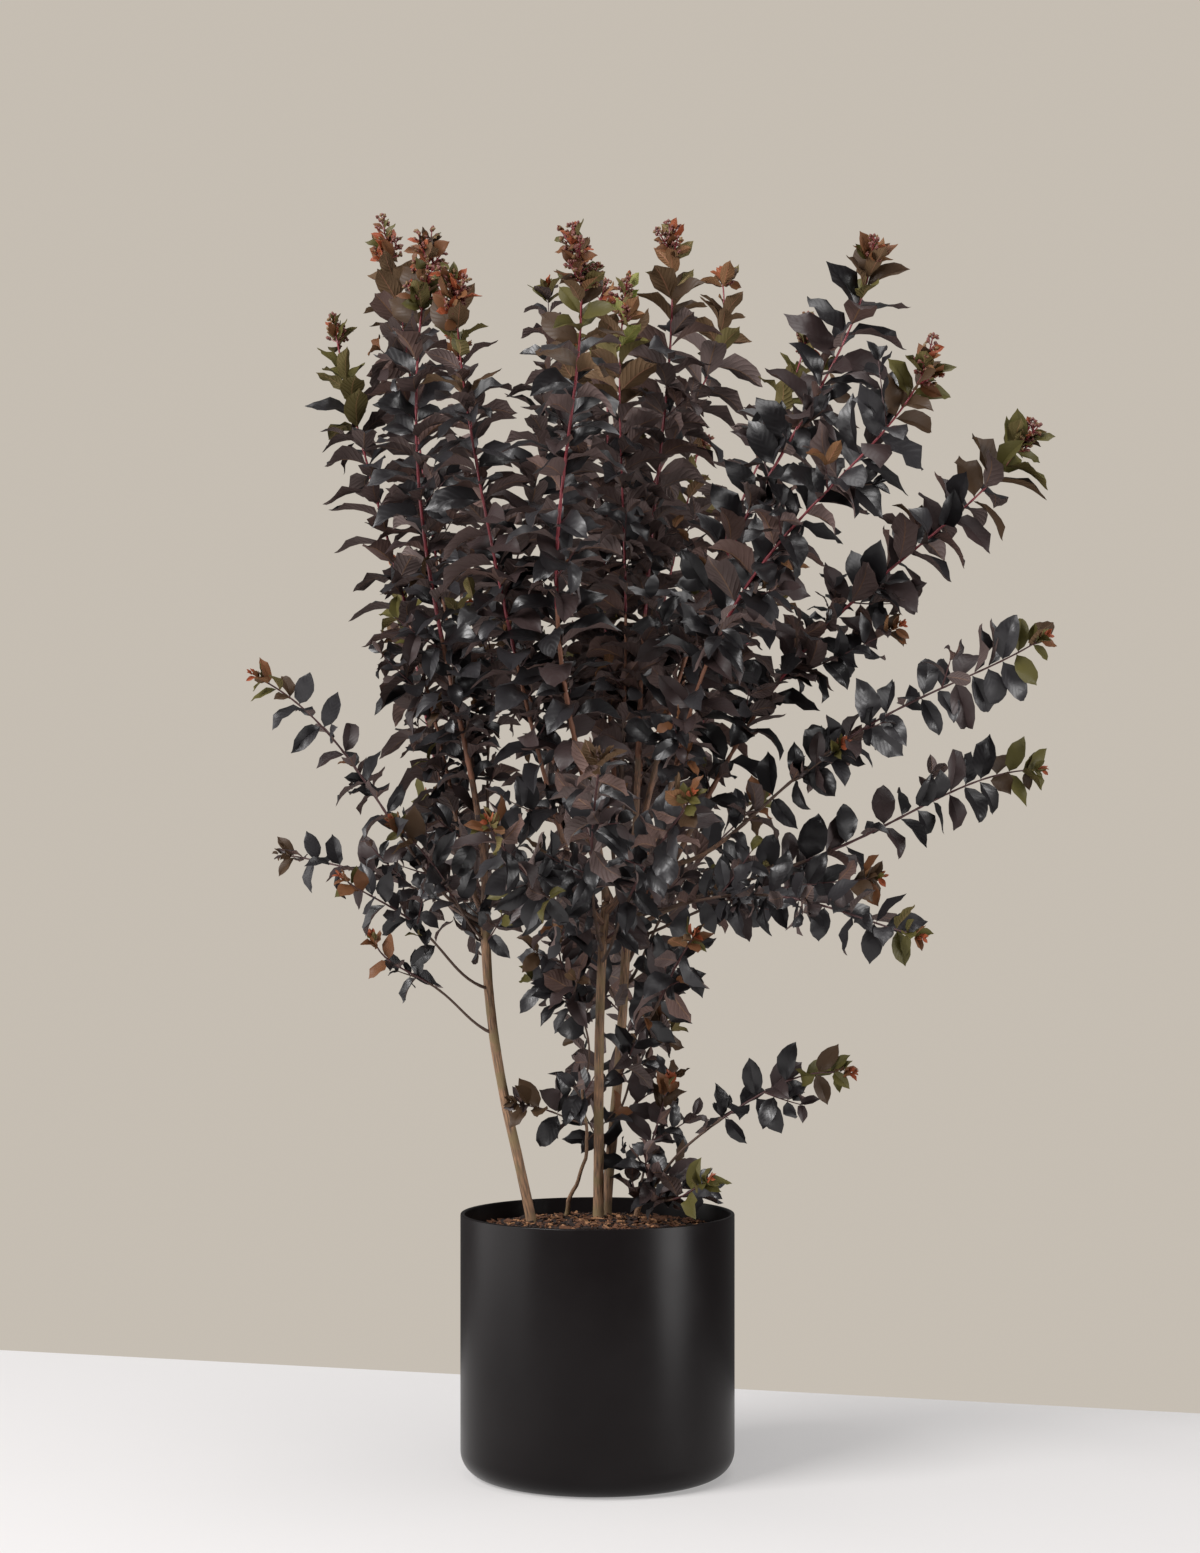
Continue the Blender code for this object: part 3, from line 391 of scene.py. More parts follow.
def apply_all(obj: bpy.types.Object) -> None:
    """Apply every modifier of an object, first to last."""
    pick(obj)
    for name in [modifier.name for modifier in obj.modifiers]:
        bpy.ops.object.modifier_apply(modifier=name)


def settle(obj: bpy.types.Object) -> None:
    """Put an object's place, turn and scale into its mesh."""
    pick(obj)
    bpy.ops.object.transform_apply(location=True, rotation=True, scale=True)


def select_none(obj: bpy.types.Object, kind: str) -> None:
    """Set an object's selection to a kind of element, with none of them selected.

    Args:
        obj: The mesh object, which is left in object mode.
        kind: FACE or EDGE.
    """
    pick(obj)
    bpy.ops.object.mode_set(mode="EDIT")
    bpy.ops.mesh.select_mode(type=kind)
    bpy.ops.mesh.select_all(action="DESELECT")
    bpy.ops.object.mode_set(mode="OBJECT")


def select_faces(obj: bpy.types.Object, wanted: Callable[[bpy.types.MeshPolygon], bool]) -> None:
    """Enter edit mode on an object with only the faces selected that pass a test.

    Args:
        obj: The mesh object.
        wanted: Called with a face, returns whether to select it.
    """
    select_none(obj, "FACE")
    for face in obj.data.polygons:
        face.select = wanted(face)
    bpy.ops.object.mode_set(mode="EDIT")


def select_edges(obj: bpy.types.Object, wanted: Callable[[Vector, Vector], bool]) -> None:
    """Enter edit mode on an object with only the edges selected that pass a test.

    Args:
        obj: The mesh object.
        wanted: Called with an edge's two end places, returns whether to select it.
    """
    select_none(obj, "EDGE")
    verts = obj.data.vertices
    for edge in obj.data.edges:
        first, second = (verts[i].co for i in edge.vertices)
        edge.select = wanted(first, second)
    bpy.ops.object.mode_set(mode="EDIT")


def smooth(obj: bpy.types.Object, degrees: float) -> None:
    """Shade an object smooth, but for edges sharper than an angle in degrees."""
    pick(obj)
    bpy.ops.object.shade_smooth_by_angle(angle=math.radians(degrees))


def add_clouds(obj: bpy.types.Object, size: float, strength: float) -> bpy.types.DisplaceModifier:
    """Add a displacement by a cloud pattern in the object's own space.

    Args:
        obj: The mesh object.
        size: Size of the clouds in its units.
        strength: How far they move its surface.

    Returns:
        The modifier.
    """
    clouds = bpy.data.textures.new("clouds", "CLOUDS")
    clouds.noise_scale = size
    lumps = obj.modifiers.new("lumps", "DISPLACE")
    lumps.texture = clouds
    lumps.texture_coords = "LOCAL"
    lumps.strength = strength
    return lumps


def settle_piece(obj: bpy.types.Object, name: str, nodes: Sequence[str] = ()) -> None:
    """Name a finished piece and hand it to the frame.

    Args:
        obj: The finished piece.
        name: Its plain name.
        nodes: CAD nodes that it stands for.
    """
    obj.name = name
    obj.data.name = name
    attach(obj, "root")
    if nodes:
        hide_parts(*nodes)
    LOG.info("%s: %d faces", name, len(obj.data.polygons))


class Heap:
    """Many small shapes gathered into one mesh."""

    def __init__(self) -> None:
        """Start empty."""
        self.places: list[np.ndarray] = []
        self.faces: list[tuple[int, ...]] = []
        self.slots: list[int] = []
        self.uvs: list[np.ndarray] = []
        self.count = 0

    def add(self, places: np.ndarray, faces: Sequence[Sequence[int]], slots: Sequence[int] | int = 0,
            uvs: np.ndarray | None = None) -> None:
        """Add one closed shape.

        Args:
            places: Its vertices, one row each.
            faces: Its faces, as indices into its own vertices.
            slots: Material slot of each face, or one for all.
            uvs: One (u, v) for each vertex, or None.
        """
        start = self.count
        self.places.append(places)
        self.faces += [tuple(start + i for i in face) for face in faces]
        self.slots += [slots] * len(faces) if isinstance(slots, int) else list(slots)
        self.uvs.append(uvs if uvs is not None else np.zeros((len(places), 2)))
        self.count += len(places)

    def add_tube(self, places: Sequence[Vector], radii: Sequence[float], sides: int,
                 slots: Sequence[int] | int = 0) -> None:
        """Add one closed tube through some places, with its half thickness at each."""
        verts, faces, uvs = tube(places, radii, sides)
        self.add(verts, faces, slots, uvs)

    def make(self, name: str, materials: Sequence[bpy.types.Material], sharp: float) -> bpy.types.Object:
        """Make the mesh object.

        Args:
            name: Its name.
            materials: Its materials, in slot order.
            sharp: Angle in degrees from which an edge is shaded sharp.

        Returns:
            The new object, at the origin.
        """
        mesh = bpy.data.meshes.new(name)
        mesh.from_pydata(np.concatenate(self.places).tolist(), [], self.faces)
        for material in materials:
            mesh.materials.append(material)
        mesh.polygons.foreach_set("material_index", self.slots)
        layer = mesh.uv_layers.new(name="growth")
        corners = np.empty(len(mesh.loops), dtype=np.int32)
        mesh.loops.foreach_get("vertex_index", corners)
        layer.data.foreach_set("uv", np.concatenate(self.uvs)[corners].astype(np.float32).ravel())
        mesh.shade_smooth()
        mesh.set_sharp_from_angle(angle=math.radians(sharp))
        obj = bpy.data.objects.new(name, mesh)
        bpy.context.scene.collection.objects.link(obj)
        return obj


def tube(places: Sequence[Vector], radii: Sequence[float],
         sides: int) -> tuple[np.ndarray, list[tuple[int, ...]], np.ndarray]:
    """A round tube with flat closed ends.

    Args:
        places: Middle points, first to last.
        radii: Half thickness at each.
        sides: Corners of its section.

    Returns:
        Its vertices, faces and (u, v) of each vertex.
    """
    rings = []
    side = Vector((1.0, 0.0, 0.0))
    for i, place in enumerate(places):
        ahead = (places[min(i + 1, len(places) - 1)] - places[max(i - 1, 0)]).normalized()
        side = side - ahead * side.dot(ahead)
        if side.length < 0.1:
            side = ahead.orthogonal()
        side.normalize()
        across = ahead.cross(side)
        rings.append([place + (side * math.cos(a) + across * math.sin(a)) * radii[i]
                      for a in (math.tau * k / sides for k in range(sides))])
    verts = [tuple(p) for ring in rings for p in ring]
    uvs = [(k / sides, i / (len(rings) - 1)) for i in range(len(rings)) for k in range(sides)]
    faces = []
    for i in range(len(rings) - 1):
        low, high = i * sides, (i + 1) * sides
        faces += [(low + k, low + (k + 1) % sides, high + (k + 1) % sides, high + k) for k in range(sides)]
    faces.append(tuple(reversed(range(sides))))
    faces.append(tuple(range((len(rings) - 1) * sides, len(rings) * sides)))
    return np.array(verts), faces, np.array(uvs)


def taper(foot: float, loss: float, steps: int) -> list[float]:
    """Half thicknesses that fall evenly from `foot` by `loss` over a number of steps."""
    return [foot - loss * i / steps for i in range(steps + 1)]


# ---------------------------------------------------------------- shared shader effects

class Effects:
    """Node groups that several finishes share, each built once."""

    @staticmethod
    def start(name: str, inputs: dict[str, float],
              outputs: dict[str, str]) -> tuple[bpy.types.NodeTree, bool]:
        """Begin a node group, or return the one that is there.

        Args:
            name: Name of the group.
            inputs: Float inputs with their default values.
            outputs: Outputs with their socket types.

        Returns:
            The group and whether it is new.
        """
        if name in bpy.data.node_groups:
            return bpy.data.node_groups[name], False
        group = bpy.data.node_groups.new(name, "ShaderNodeTree")
        for label, value in inputs.items():
            socket = group.interface.new_socket(name=label, in_out="INPUT", socket_type="NodeSocketFloat")
            socket.default_value = value
        for label, kind in outputs.items():
            group.interface.new_socket(name=label, in_out="OUTPUT", socket_type=kind)
        group.nodes.new("NodeGroupInput")
        group.nodes.new("NodeGroupOutput")
        return group, True

    @staticmethod
    def ends(group: bpy.types.NodeTree) -> tuple[bpy.types.NodeOutputs, bpy.types.NodeInputs]:
        """The sockets of what a group is given and of what it puts out."""
        return group.nodes["Group Input"].outputs, group.nodes["Group Output"].inputs

    @classmethod
    def mottle(cls) -> bpy.types.NodeTree:
        """Soft patches in object space: a 0 to 1 mask and a finer height."""
        group, fresh = cls.start("mottle", {"Scale": 40.0, "Fine Scale": 400.0},
                                 {"Mask": "NodeSocketFloat", "Height": "NodeSocketFloat"})
        if not fresh:
            return group
        nodes, link = group.nodes, group.links.new
        given, out = cls.ends(group)
        coords = nodes.new("ShaderNodeTexCoord")
        for label, detail, target in (("Scale", 3.0, "Mask"), ("Fine Scale", 4.0, "Height")):
            noise = nodes.new("ShaderNodeTexNoise")
            noise.inputs["Detail"].default_value = detail
            link(coords.outputs["Object"], noise.inputs["Vector"])
            link(given[label], noise.inputs["Scale"])
            link(noise.outputs["Fac"], out[target])
        return group

    @classmethod
    def veins(cls) -> bpy.types.NodeTree:
        """Side veins of a leaf from its own UV map: v runs root to tip, u across."""
        group, fresh = cls.start("leaf veins", {"Veins": 8.0, "Slant": 0.55, "Sharpness": 3.0},
                                 {"Height": "NodeSocketFloat", "Mask": "NodeSocketFloat"})
        if not fresh:
            return group
        nodes, link = group.nodes, group.links.new
        given, out = cls.ends(group)
        uv = nodes.new("ShaderNodeUVMap")
        uv.uv_map = "growth"
        split = nodes.new("ShaderNodeSeparateXYZ")
        link(uv.outputs["UV"], split.inputs["Vector"])

        def sum_up(kind: str, *terms: float | bpy.types.NodeSocket) -> bpy.types.NodeSocket:
            """One Math node of a kind on sockets or numbers."""
            node = nodes.new("ShaderNodeMath")
            node.operation = kind
            for socket, term in zip(node.inputs, terms):
                if isinstance(term, float):
                    socket.default_value = term
                else:
                    link(term, socket)
            return node.outputs[0]

        off = sum_up("ABSOLUTE", sum_up("SUBTRACT", split.outputs["X"], 0.5))
        slanted = sum_up("SUBTRACT", split.outputs["Y"], sum_up("MULTIPLY", off, given["Slant"]))
        phase = sum_up("MULTIPLY", sum_up("MULTIPLY", slanted, given["Veins"]), math.tau)
        wave = sum_up("ADD", sum_up("MULTIPLY", sum_up("COSINE", phase), 0.5), 0.5)
        ridge = sum_up("POWER", wave, given["Sharpness"])
        link(ridge, out["Height"])
        link(ridge, out["Mask"])
        return group

    @classmethod
    def bark(cls) -> bpy.types.NodeTree:
        """Streaks that follow a limb's own UV map, with patches in object space."""
        group, fresh = cls.start("bark", {"Around": 7.0, "Along": 12.0, "Patch Scale": 34.0},
                                 {"Streaks": "NodeSocketFloat", "Patches": "NodeSocketFloat",
                                  "Height": "NodeSocketFloat"})
        if not fresh:
            return group
        nodes, link = group.nodes, group.links.new
        given, out = cls.ends(group)
        coords = nodes.new("ShaderNodeTexCoord")
        join = nodes.new("ShaderNodeCombineXYZ")
        link(given["Around"], join.inputs["X"])
        link(given["Along"], join.inputs["Y"])
        scaled = nodes.new("ShaderNodeVectorMath")
        scaled.operation = "MULTIPLY"
        link(coords.outputs["UV"], scaled.inputs[0])
        link(join.outputs["Vector"], scaled.inputs[1])
        streaks = nodes.new("ShaderNodeTexNoise")
        streaks.inputs["Scale"].default_value = 3.0
        streaks.inputs["Detail"].default_value = 6.0
        link(scaled.outputs["Vector"], streaks.inputs["Vector"])
        patches = nodes.new("ShaderNodeTexNoise")
        patches.inputs["Detail"].default_value = 2.0
        link(coords.outputs["Object"], patches.inputs["Vector"])
        link(given["Patch Scale"], patches.inputs["Scale"])
        link(streaks.outputs["Fac"], out["Streaks"])
        link(patches.outputs["Fac"], out["Patches"])
        link(streaks.outputs["Fac"], out["Height"])
        return group


class Dresser:
    """A new Principled material with helpers to wire effects into it."""

    def __init__(self, name: str, colour: Colour, roughness: float) -> None:
        """Make the material with its plain values."""
        self.material = bpy.data.materials.new(name)
        self.material.use_nodes = True
        self.nodes = self.material.node_tree.nodes
        self.link = self.material.node_tree.links.new
        self.shader = self.nodes["Principled BSDF"]
        self.shader.inputs["Base Color"].default_value = (*colour, 1.0)
        self.shader.inputs["Roughness"].default_value = roughness
        self.material.diffuse_color = (*colour, 1.0)

    def effect(self, group: bpy.types.NodeTree, **values: float) -> bpy.types.Node:
        """Place a shared effect with its own values; underscores in names stand for spaces."""
        node = self.nodes.new("ShaderNodeGroup")
        node.node_tree = group
        for label, value in values.items():
            node.inputs[label.replace("_", " ")].default_value = value
        return node

    def ramp(self, source: bpy.types.NodeSocket,
             stops: Sequence[tuple[float, Colour]]) -> bpy.types.NodeSocket:
        """Turn a mask into colours.

        Args:
            source: The mask's socket.
            stops: Positions and their colours, low to high.

        Returns:
            The colour socket.
        """
        node = self.nodes.new("ShaderNodeValToRGB")
        while len(node.color_ramp.elements) < len(stops):
            node.color_ramp.elements.new(0.5)
        for element, (place, colour) in zip(node.color_ramp.elements, stops):
            element.position = place
            element.color = (*colour, 1.0)
        self.link(source, node.inputs["Fac"])
        return node.outputs["Color"]

    def blend(self, mask: bpy.types.NodeSocket, first: bpy.types.NodeSocket,
              second: Colour) -> bpy.types.NodeSocket:
        """Mix a colour socket with a plain colour by a mask."""
        node = self.nodes.new("ShaderNodeMix")
        node.data_type = "RGBA"
        self.link(mask, node.inputs["Factor"])
        self.link(first, node.inputs["A"])
        node.inputs["B"].default_value = (*second, 1.0)
        return node.outputs["Result"]

    def stretch(self, source: bpy.types.NodeSocket, within: Span,
                to: Span = (0.0, 1.0)) -> bpy.types.NodeSocket:
        """Map a mask from the span `within` to the span `to`."""
        node = self.nodes.new("ShaderNodeMapRange")
        node.inputs["From Min"].default_value, node.inputs["From Max"].default_value = within
        node.inputs["To Min"].default_value, node.inputs["To Max"].default_value = to
        self.link(source, node.inputs["Value"])
        return node.outputs["Result"]

    def roughen(self, source: bpy.types.NodeSocket, low: float, high: float,
                within: Span = (0.3, 0.7)) -> None:
        """Send a mask, mapped from `within` to `low` .. `high`, into Roughness."""
        self.link(self.stretch(source, within, (low, high)), self.shader.inputs["Roughness"])

    def shine(self, level: float) -> None:
        """Set how strongly the surface mirrors."""
        self.shader.inputs["Specular IOR Level"].default_value = level

    def colour(self, source: bpy.types.NodeSocket) -> None:
        """Send a colour into Base Color."""
        self.link(source, self.shader.inputs["Base Color"])

    def bump(self, source: bpy.types.NodeSocket, strength: float, distance: float) -> None:
        """Send a height through a Bump node into Normal."""
        node = self.nodes.new("ShaderNodeBump")
        node.inputs["Strength"].default_value = strength
        node.inputs["Distance"].default_value = distance
        self.link(source, node.inputs["Height"])
        self.link(node.outputs["Normal"], self.shader.inputs["Normal"])


# ---------------------------------------------------------------- finishes

class Tone(Enum):
    """Colour groups that leaves are dealt out to."""

    NIGHT = "night"
    SLATE = "slate"
    PLUM = "plum"
    UMBER = "umber"
    BRONZE = "bronze"
    RUST = "rust"
    OLIVE = "olive"
    LIME = "lime"


@dataclass(frozen=True)
class LeafFinish:
    """Upper side, underside and midrib of the leaves of one tone."""

    upper: Colour
    under: Colour
    rib: Colour
    gloss: float = 0.28
    matte: float = 0.62
    shine: float = 0.42

    VEIN_MATTE = 0.16
    RIB_ROUGH = 0.5

    def materials(self, tone: Tone) -> list[bpy.types.Material]:
        """Make the three materials, in slot order."""
        made = []
        for side, colour, rough, relief, depth in (("upper", self.upper, self.gloss, -0.55, 0.0012),
                                                   ("under", self.under, self.matte, 0.60, 0.0009)):
            dress = Dresser(f"leaf {tone.value} {side}", colour, rough)
            veins = dress.effect(Effects.veins())
            dress.roughen(veins.outputs["Mask"], rough, rough + self.VEIN_MATTE, (0.0, 1.0))
            dress.bump(veins.outputs["Height"], relief, depth)
            dress.shine(self.shine)
            made.append(dress.material)
        dress = Dresser(f"leaf {tone.value} rib", self.rib, self.RIB_ROUGH)
        grain = dress.effect(Effects.mottle(), Scale=300.0, Fine_Scale=2400.0)
        dress.bump(grain.outputs["Height"], 0.2, 0.0002)
        made.append(dress.material)
        return made


LEAF_FINISHES = {
    Tone.NIGHT: LeafFinish((0.0105, 0.0095, 0.0105), (0.098, 0.064, 0.058), (0.16, 0.085, 0.052)),
    Tone.SLATE: LeafFinish((0.0225, 0.0210, 0.0230), (0.110, 0.077, 0.070), (0.19, 0.110, 0.068), 0.31),
    Tone.PLUM: LeafFinish((0.0330, 0.0210, 0.0205), (0.124, 0.074, 0.062), (0.21, 0.110, 0.055),
                          0.42, shine=0.32),
    Tone.UMBER: LeafFinish((0.048, 0.027, 0.014), (0.116, 0.069, 0.036), (0.22, 0.100, 0.055),
                          0.44, shine=0.18),
    Tone.BRONZE: LeafFinish((0.125, 0.052, 0.022), (0.184, 0.092, 0.042), (0.26, 0.100, 0.050),
                          0.42, shine=0.18),
    Tone.RUST: LeafFinish((0.230, 0.055, 0.022), (0.290, 0.090, 0.040), (0.36, 0.060, 0.040),
                          0.40, shine=0.18),
    Tone.OLIVE: LeafFinish((0.076, 0.066, 0.019), (0.120, 0.095, 0.035), (0.22, 0.130, 0.055),
                          0.42, shine=0.18),
    Tone.LIME: LeafFinish((0.150, 0.170, 0.028), (0.220, 0.225, 0.060), (0.30, 0.260, 0.080), 0.42),
}


@dataclass(frozen=True)
class BarkFinish:
    """Smooth bark: three tones in long streaks, with soft patches of a mossy fourth."""

    light: Colour
    mid: Colour
    dark: Colour
    moss: Colour
    rough: float = 0.72
    rough_play: float = 0.12
    bands: tuple[float, float, float] = (0.37, 0.50, 0.68)
    moss_span: Span = (0.46, 0.62)

    def material(self, name: str) -> bpy.types.Material:
        """Make the material."""
        dress = Dresser(name, self.mid, self.rough)
        bark = dress.effect(Effects.bark())
        stops = list(zip(self.bands, (self.dark, self.mid, self.light)))
        tones = dress.ramp(bark.outputs["Streaks"], stops)
        mossy = dress.stretch(bark.outputs["Patches"], self.moss_span)
        dress.colour(dress.blend(mossy, tones, self.moss))
        dress.roughen(bark.outputs["Streaks"], self.rough - self.rough_play, self.rough + self.rough_play)
        dress.bump(bark.outputs["Height"], 0.6, 0.0012)
        return dress.material


STEM_BARK = BarkFinish((0.315, 0.178, 0.100), (0.195, 0.109, 0.059), (0.070, 0.040, 0.024),
                       (0.160, 0.110, 0.049))
BOUGH_BARK = BarkFinish((0.250, 0.130, 0.074), (0.145, 0.074, 0.044), (0.048, 0.027, 0.019),
                        (0.120, 0.075, 0.044))


@dataclass(frozen=True)
class PlainFinish:
    """A fine-grained matte finish with one base colour, for small joined pieces."""

    colour: Colour
    rough: float
    grain: float = 900.0
    relief: float = 0.0004

    PATCH_SHARE = 0.3
    ROUGH_PLAY = 0.1

    def material(self, name: str) -> bpy.types.Material:
        """Make the material."""
        dress = Dresser(name, self.colour, self.rough)
        mottle = dress.effect(Effects.mottle(), Scale=self.grain * self.PATCH_SHARE, Fine_Scale=self.grain)
        dress.roughen(mottle.outputs["Mask"], self.rough - self.ROUGH_PLAY, self.rough + self.ROUGH_PLAY)
        dress.bump(mottle.outputs["Height"], 0.4, self.relief)
        return dress.material


CRIMSON = PlainFinish((0.175, 0.018, 0.026), 0.42)
RUSSET = PlainFinish((0.170, 0.068, 0.036), 0.58)
WINE = PlainFinish((0.060, 0.020, 0.020), 0.52)
TWIG_BROWN = PlainFinish((0.075, 0.042, 0.028), 0.68)
BUD_RED = PlainFinish((0.125, 0.036, 0.026), 0.48)
BUD_OLIVE = PlainFinish((0.150, 0.085, 0.032), 0.50)
CHIP_TONES = (
    PlainFinish((0.100, 0.039, 0.016), 0.85, 500.0, 0.0009),
    PlainFinish((0.014, 0.006, 0.004), 0.90, 500.0, 0.0009),
    PlainFinish((0.270, 0.130, 0.058), 0.80, 500.0, 0.0009),
)


@dataclass(frozen=True)
class PlanterFinish:
    """Smooth charcoal coating with a low sheen."""

    colour: Colour = (0.0043, 0.0030, 0.0032)
    worn: Colour = (0.0064, 0.0049, 0.0051)
    rough: float = 0.31
    shine: float = 0.16

    def material(self, name: str) -> bpy.types.Material:
        """Make the material."""
        dress = Dresser(name, self.colour, self.rough)
        mottle = dress.effect(Effects.mottle(), Scale=9.0, Fine_Scale=1500.0)
        dress.colour(dress.ramp(mottle.outputs["Mask"], ((0.35, self.colour), (0.70, self.worn))))
        dress.roughen(mottle.outputs["Mask"], self.rough - 0.03, self.rough + 0.05)
        dress.bump(mottle.outputs["Height"], 0.12, 0.0003)
        dress.shine(self.shine)
        return dress.material


@dataclass(frozen=True)
class SoilFinish:
    """Dark moist mix between the chips."""

    dark: Colour = (0.008, 0.004, 0.003)
    light: Colour = (0.050, 0.023, 0.013)
    rough: float = 0.95

    def material(self, name: str) -> bpy.types.Material:
        """Make the material."""
        dress = Dresser(name, self.dark, self.rough)
        mottle = dress.effect(Effects.mottle(), Scale=160.0, Fine_Scale=520.0)
        dress.colour(dress.ramp(mottle.outputs["Mask"], ((0.38, self.dark), (0.62, self.light))))
        dress.bump(mottle.outputs["Height"], 0.9, 0.003)
        return dress.material


# ---------------------------------------------------------------- planter and potting mix

@dataclass
class Planter:
    """A thin-walled cylinder with a round foot and a small round rim."""

    radius: float = 0.178
    height: float = 0.338
    wall: float = 0.0055
    floor: float = 0.009
    foot: float = 0.032
    rim: float = 0.0018
    sides: int = 144
    foot_steps: int = 14
    inner_steps: int = 8
    rim_steps: int = 4

    NEAR = 1e-4

    def build(self) -> bpy.types.Object:
        """Model the planter from a cylinder."""
        deselect()
        bpy.ops.mesh.primitive_cylinder_add(vertices=self.sides, radius=self.radius, depth=self.height,
                                            location=(0.0, 0.0, 0.5 * self.height))
        pot = bpy.context.active_object
        settle(pot)
        inner = self.radius - self.wall
        self.round_off(pot, [(0.0, self.radius)], self.foot, self.foot_steps)
        select_faces(pot, lambda face: face.normal.z > 0.9 and face.center.z > 0.9 * self.height)
        bpy.ops.mesh.inset(thickness=self.wall)
        bpy.ops.mesh.extrude_region_move(
            TRANSFORM_OT_translate={"value": (0.0, 0.0, self.floor - self.height)})
        self.round_off(pot, [(self.floor, inner)], self.foot - self.wall, self.inner_steps)
        self.round_off(pot, [(self.height, self.radius), (self.height, inner)], self.rim, self.rim_steps)
        bpy.ops.object.mode_set(mode="OBJECT")
        smooth(pot, 50.0)
        return pot

    def round_off(self, pot: bpy.types.Object, circles: Sequence[Span], width: float, steps: int) -> None:
        """Bevel the edges that lie on some circles.

        Args:
            pot: The planter.
            circles: Height and radius of each circle.
            width: How far the bevel reaches.
            steps: Its number of faces across.
        """
        select_edges(pot, lambda *ends: any(self.lies_on(circle, ends) for circle in circles))
        bpy.ops.mesh.bevel(offset=width, segments=steps, affect="EDGES", offset_type="OFFSET")

    def lies_on(self, circle: Span, ends: Sequence[Vector]) -> bool:
        """Whether an edge's two ends lie on a circle of a height and radius."""
        level, radius = circle
        return all(abs(p.z - level) < self.NEAR and abs(math.hypot(p.x, p.y) - radius) < self.NEAR
                   for p in ends)

    def dress(self, pot: bpy.types.Object) -> None:
        """Give the planter its finish and its place in the frame."""
        pot.data.materials.clear()
        pot.data.materials.append(PlanterFinish().material("planter charcoal"))
        settle_piece(pot, "planter_shell", ["planter"])


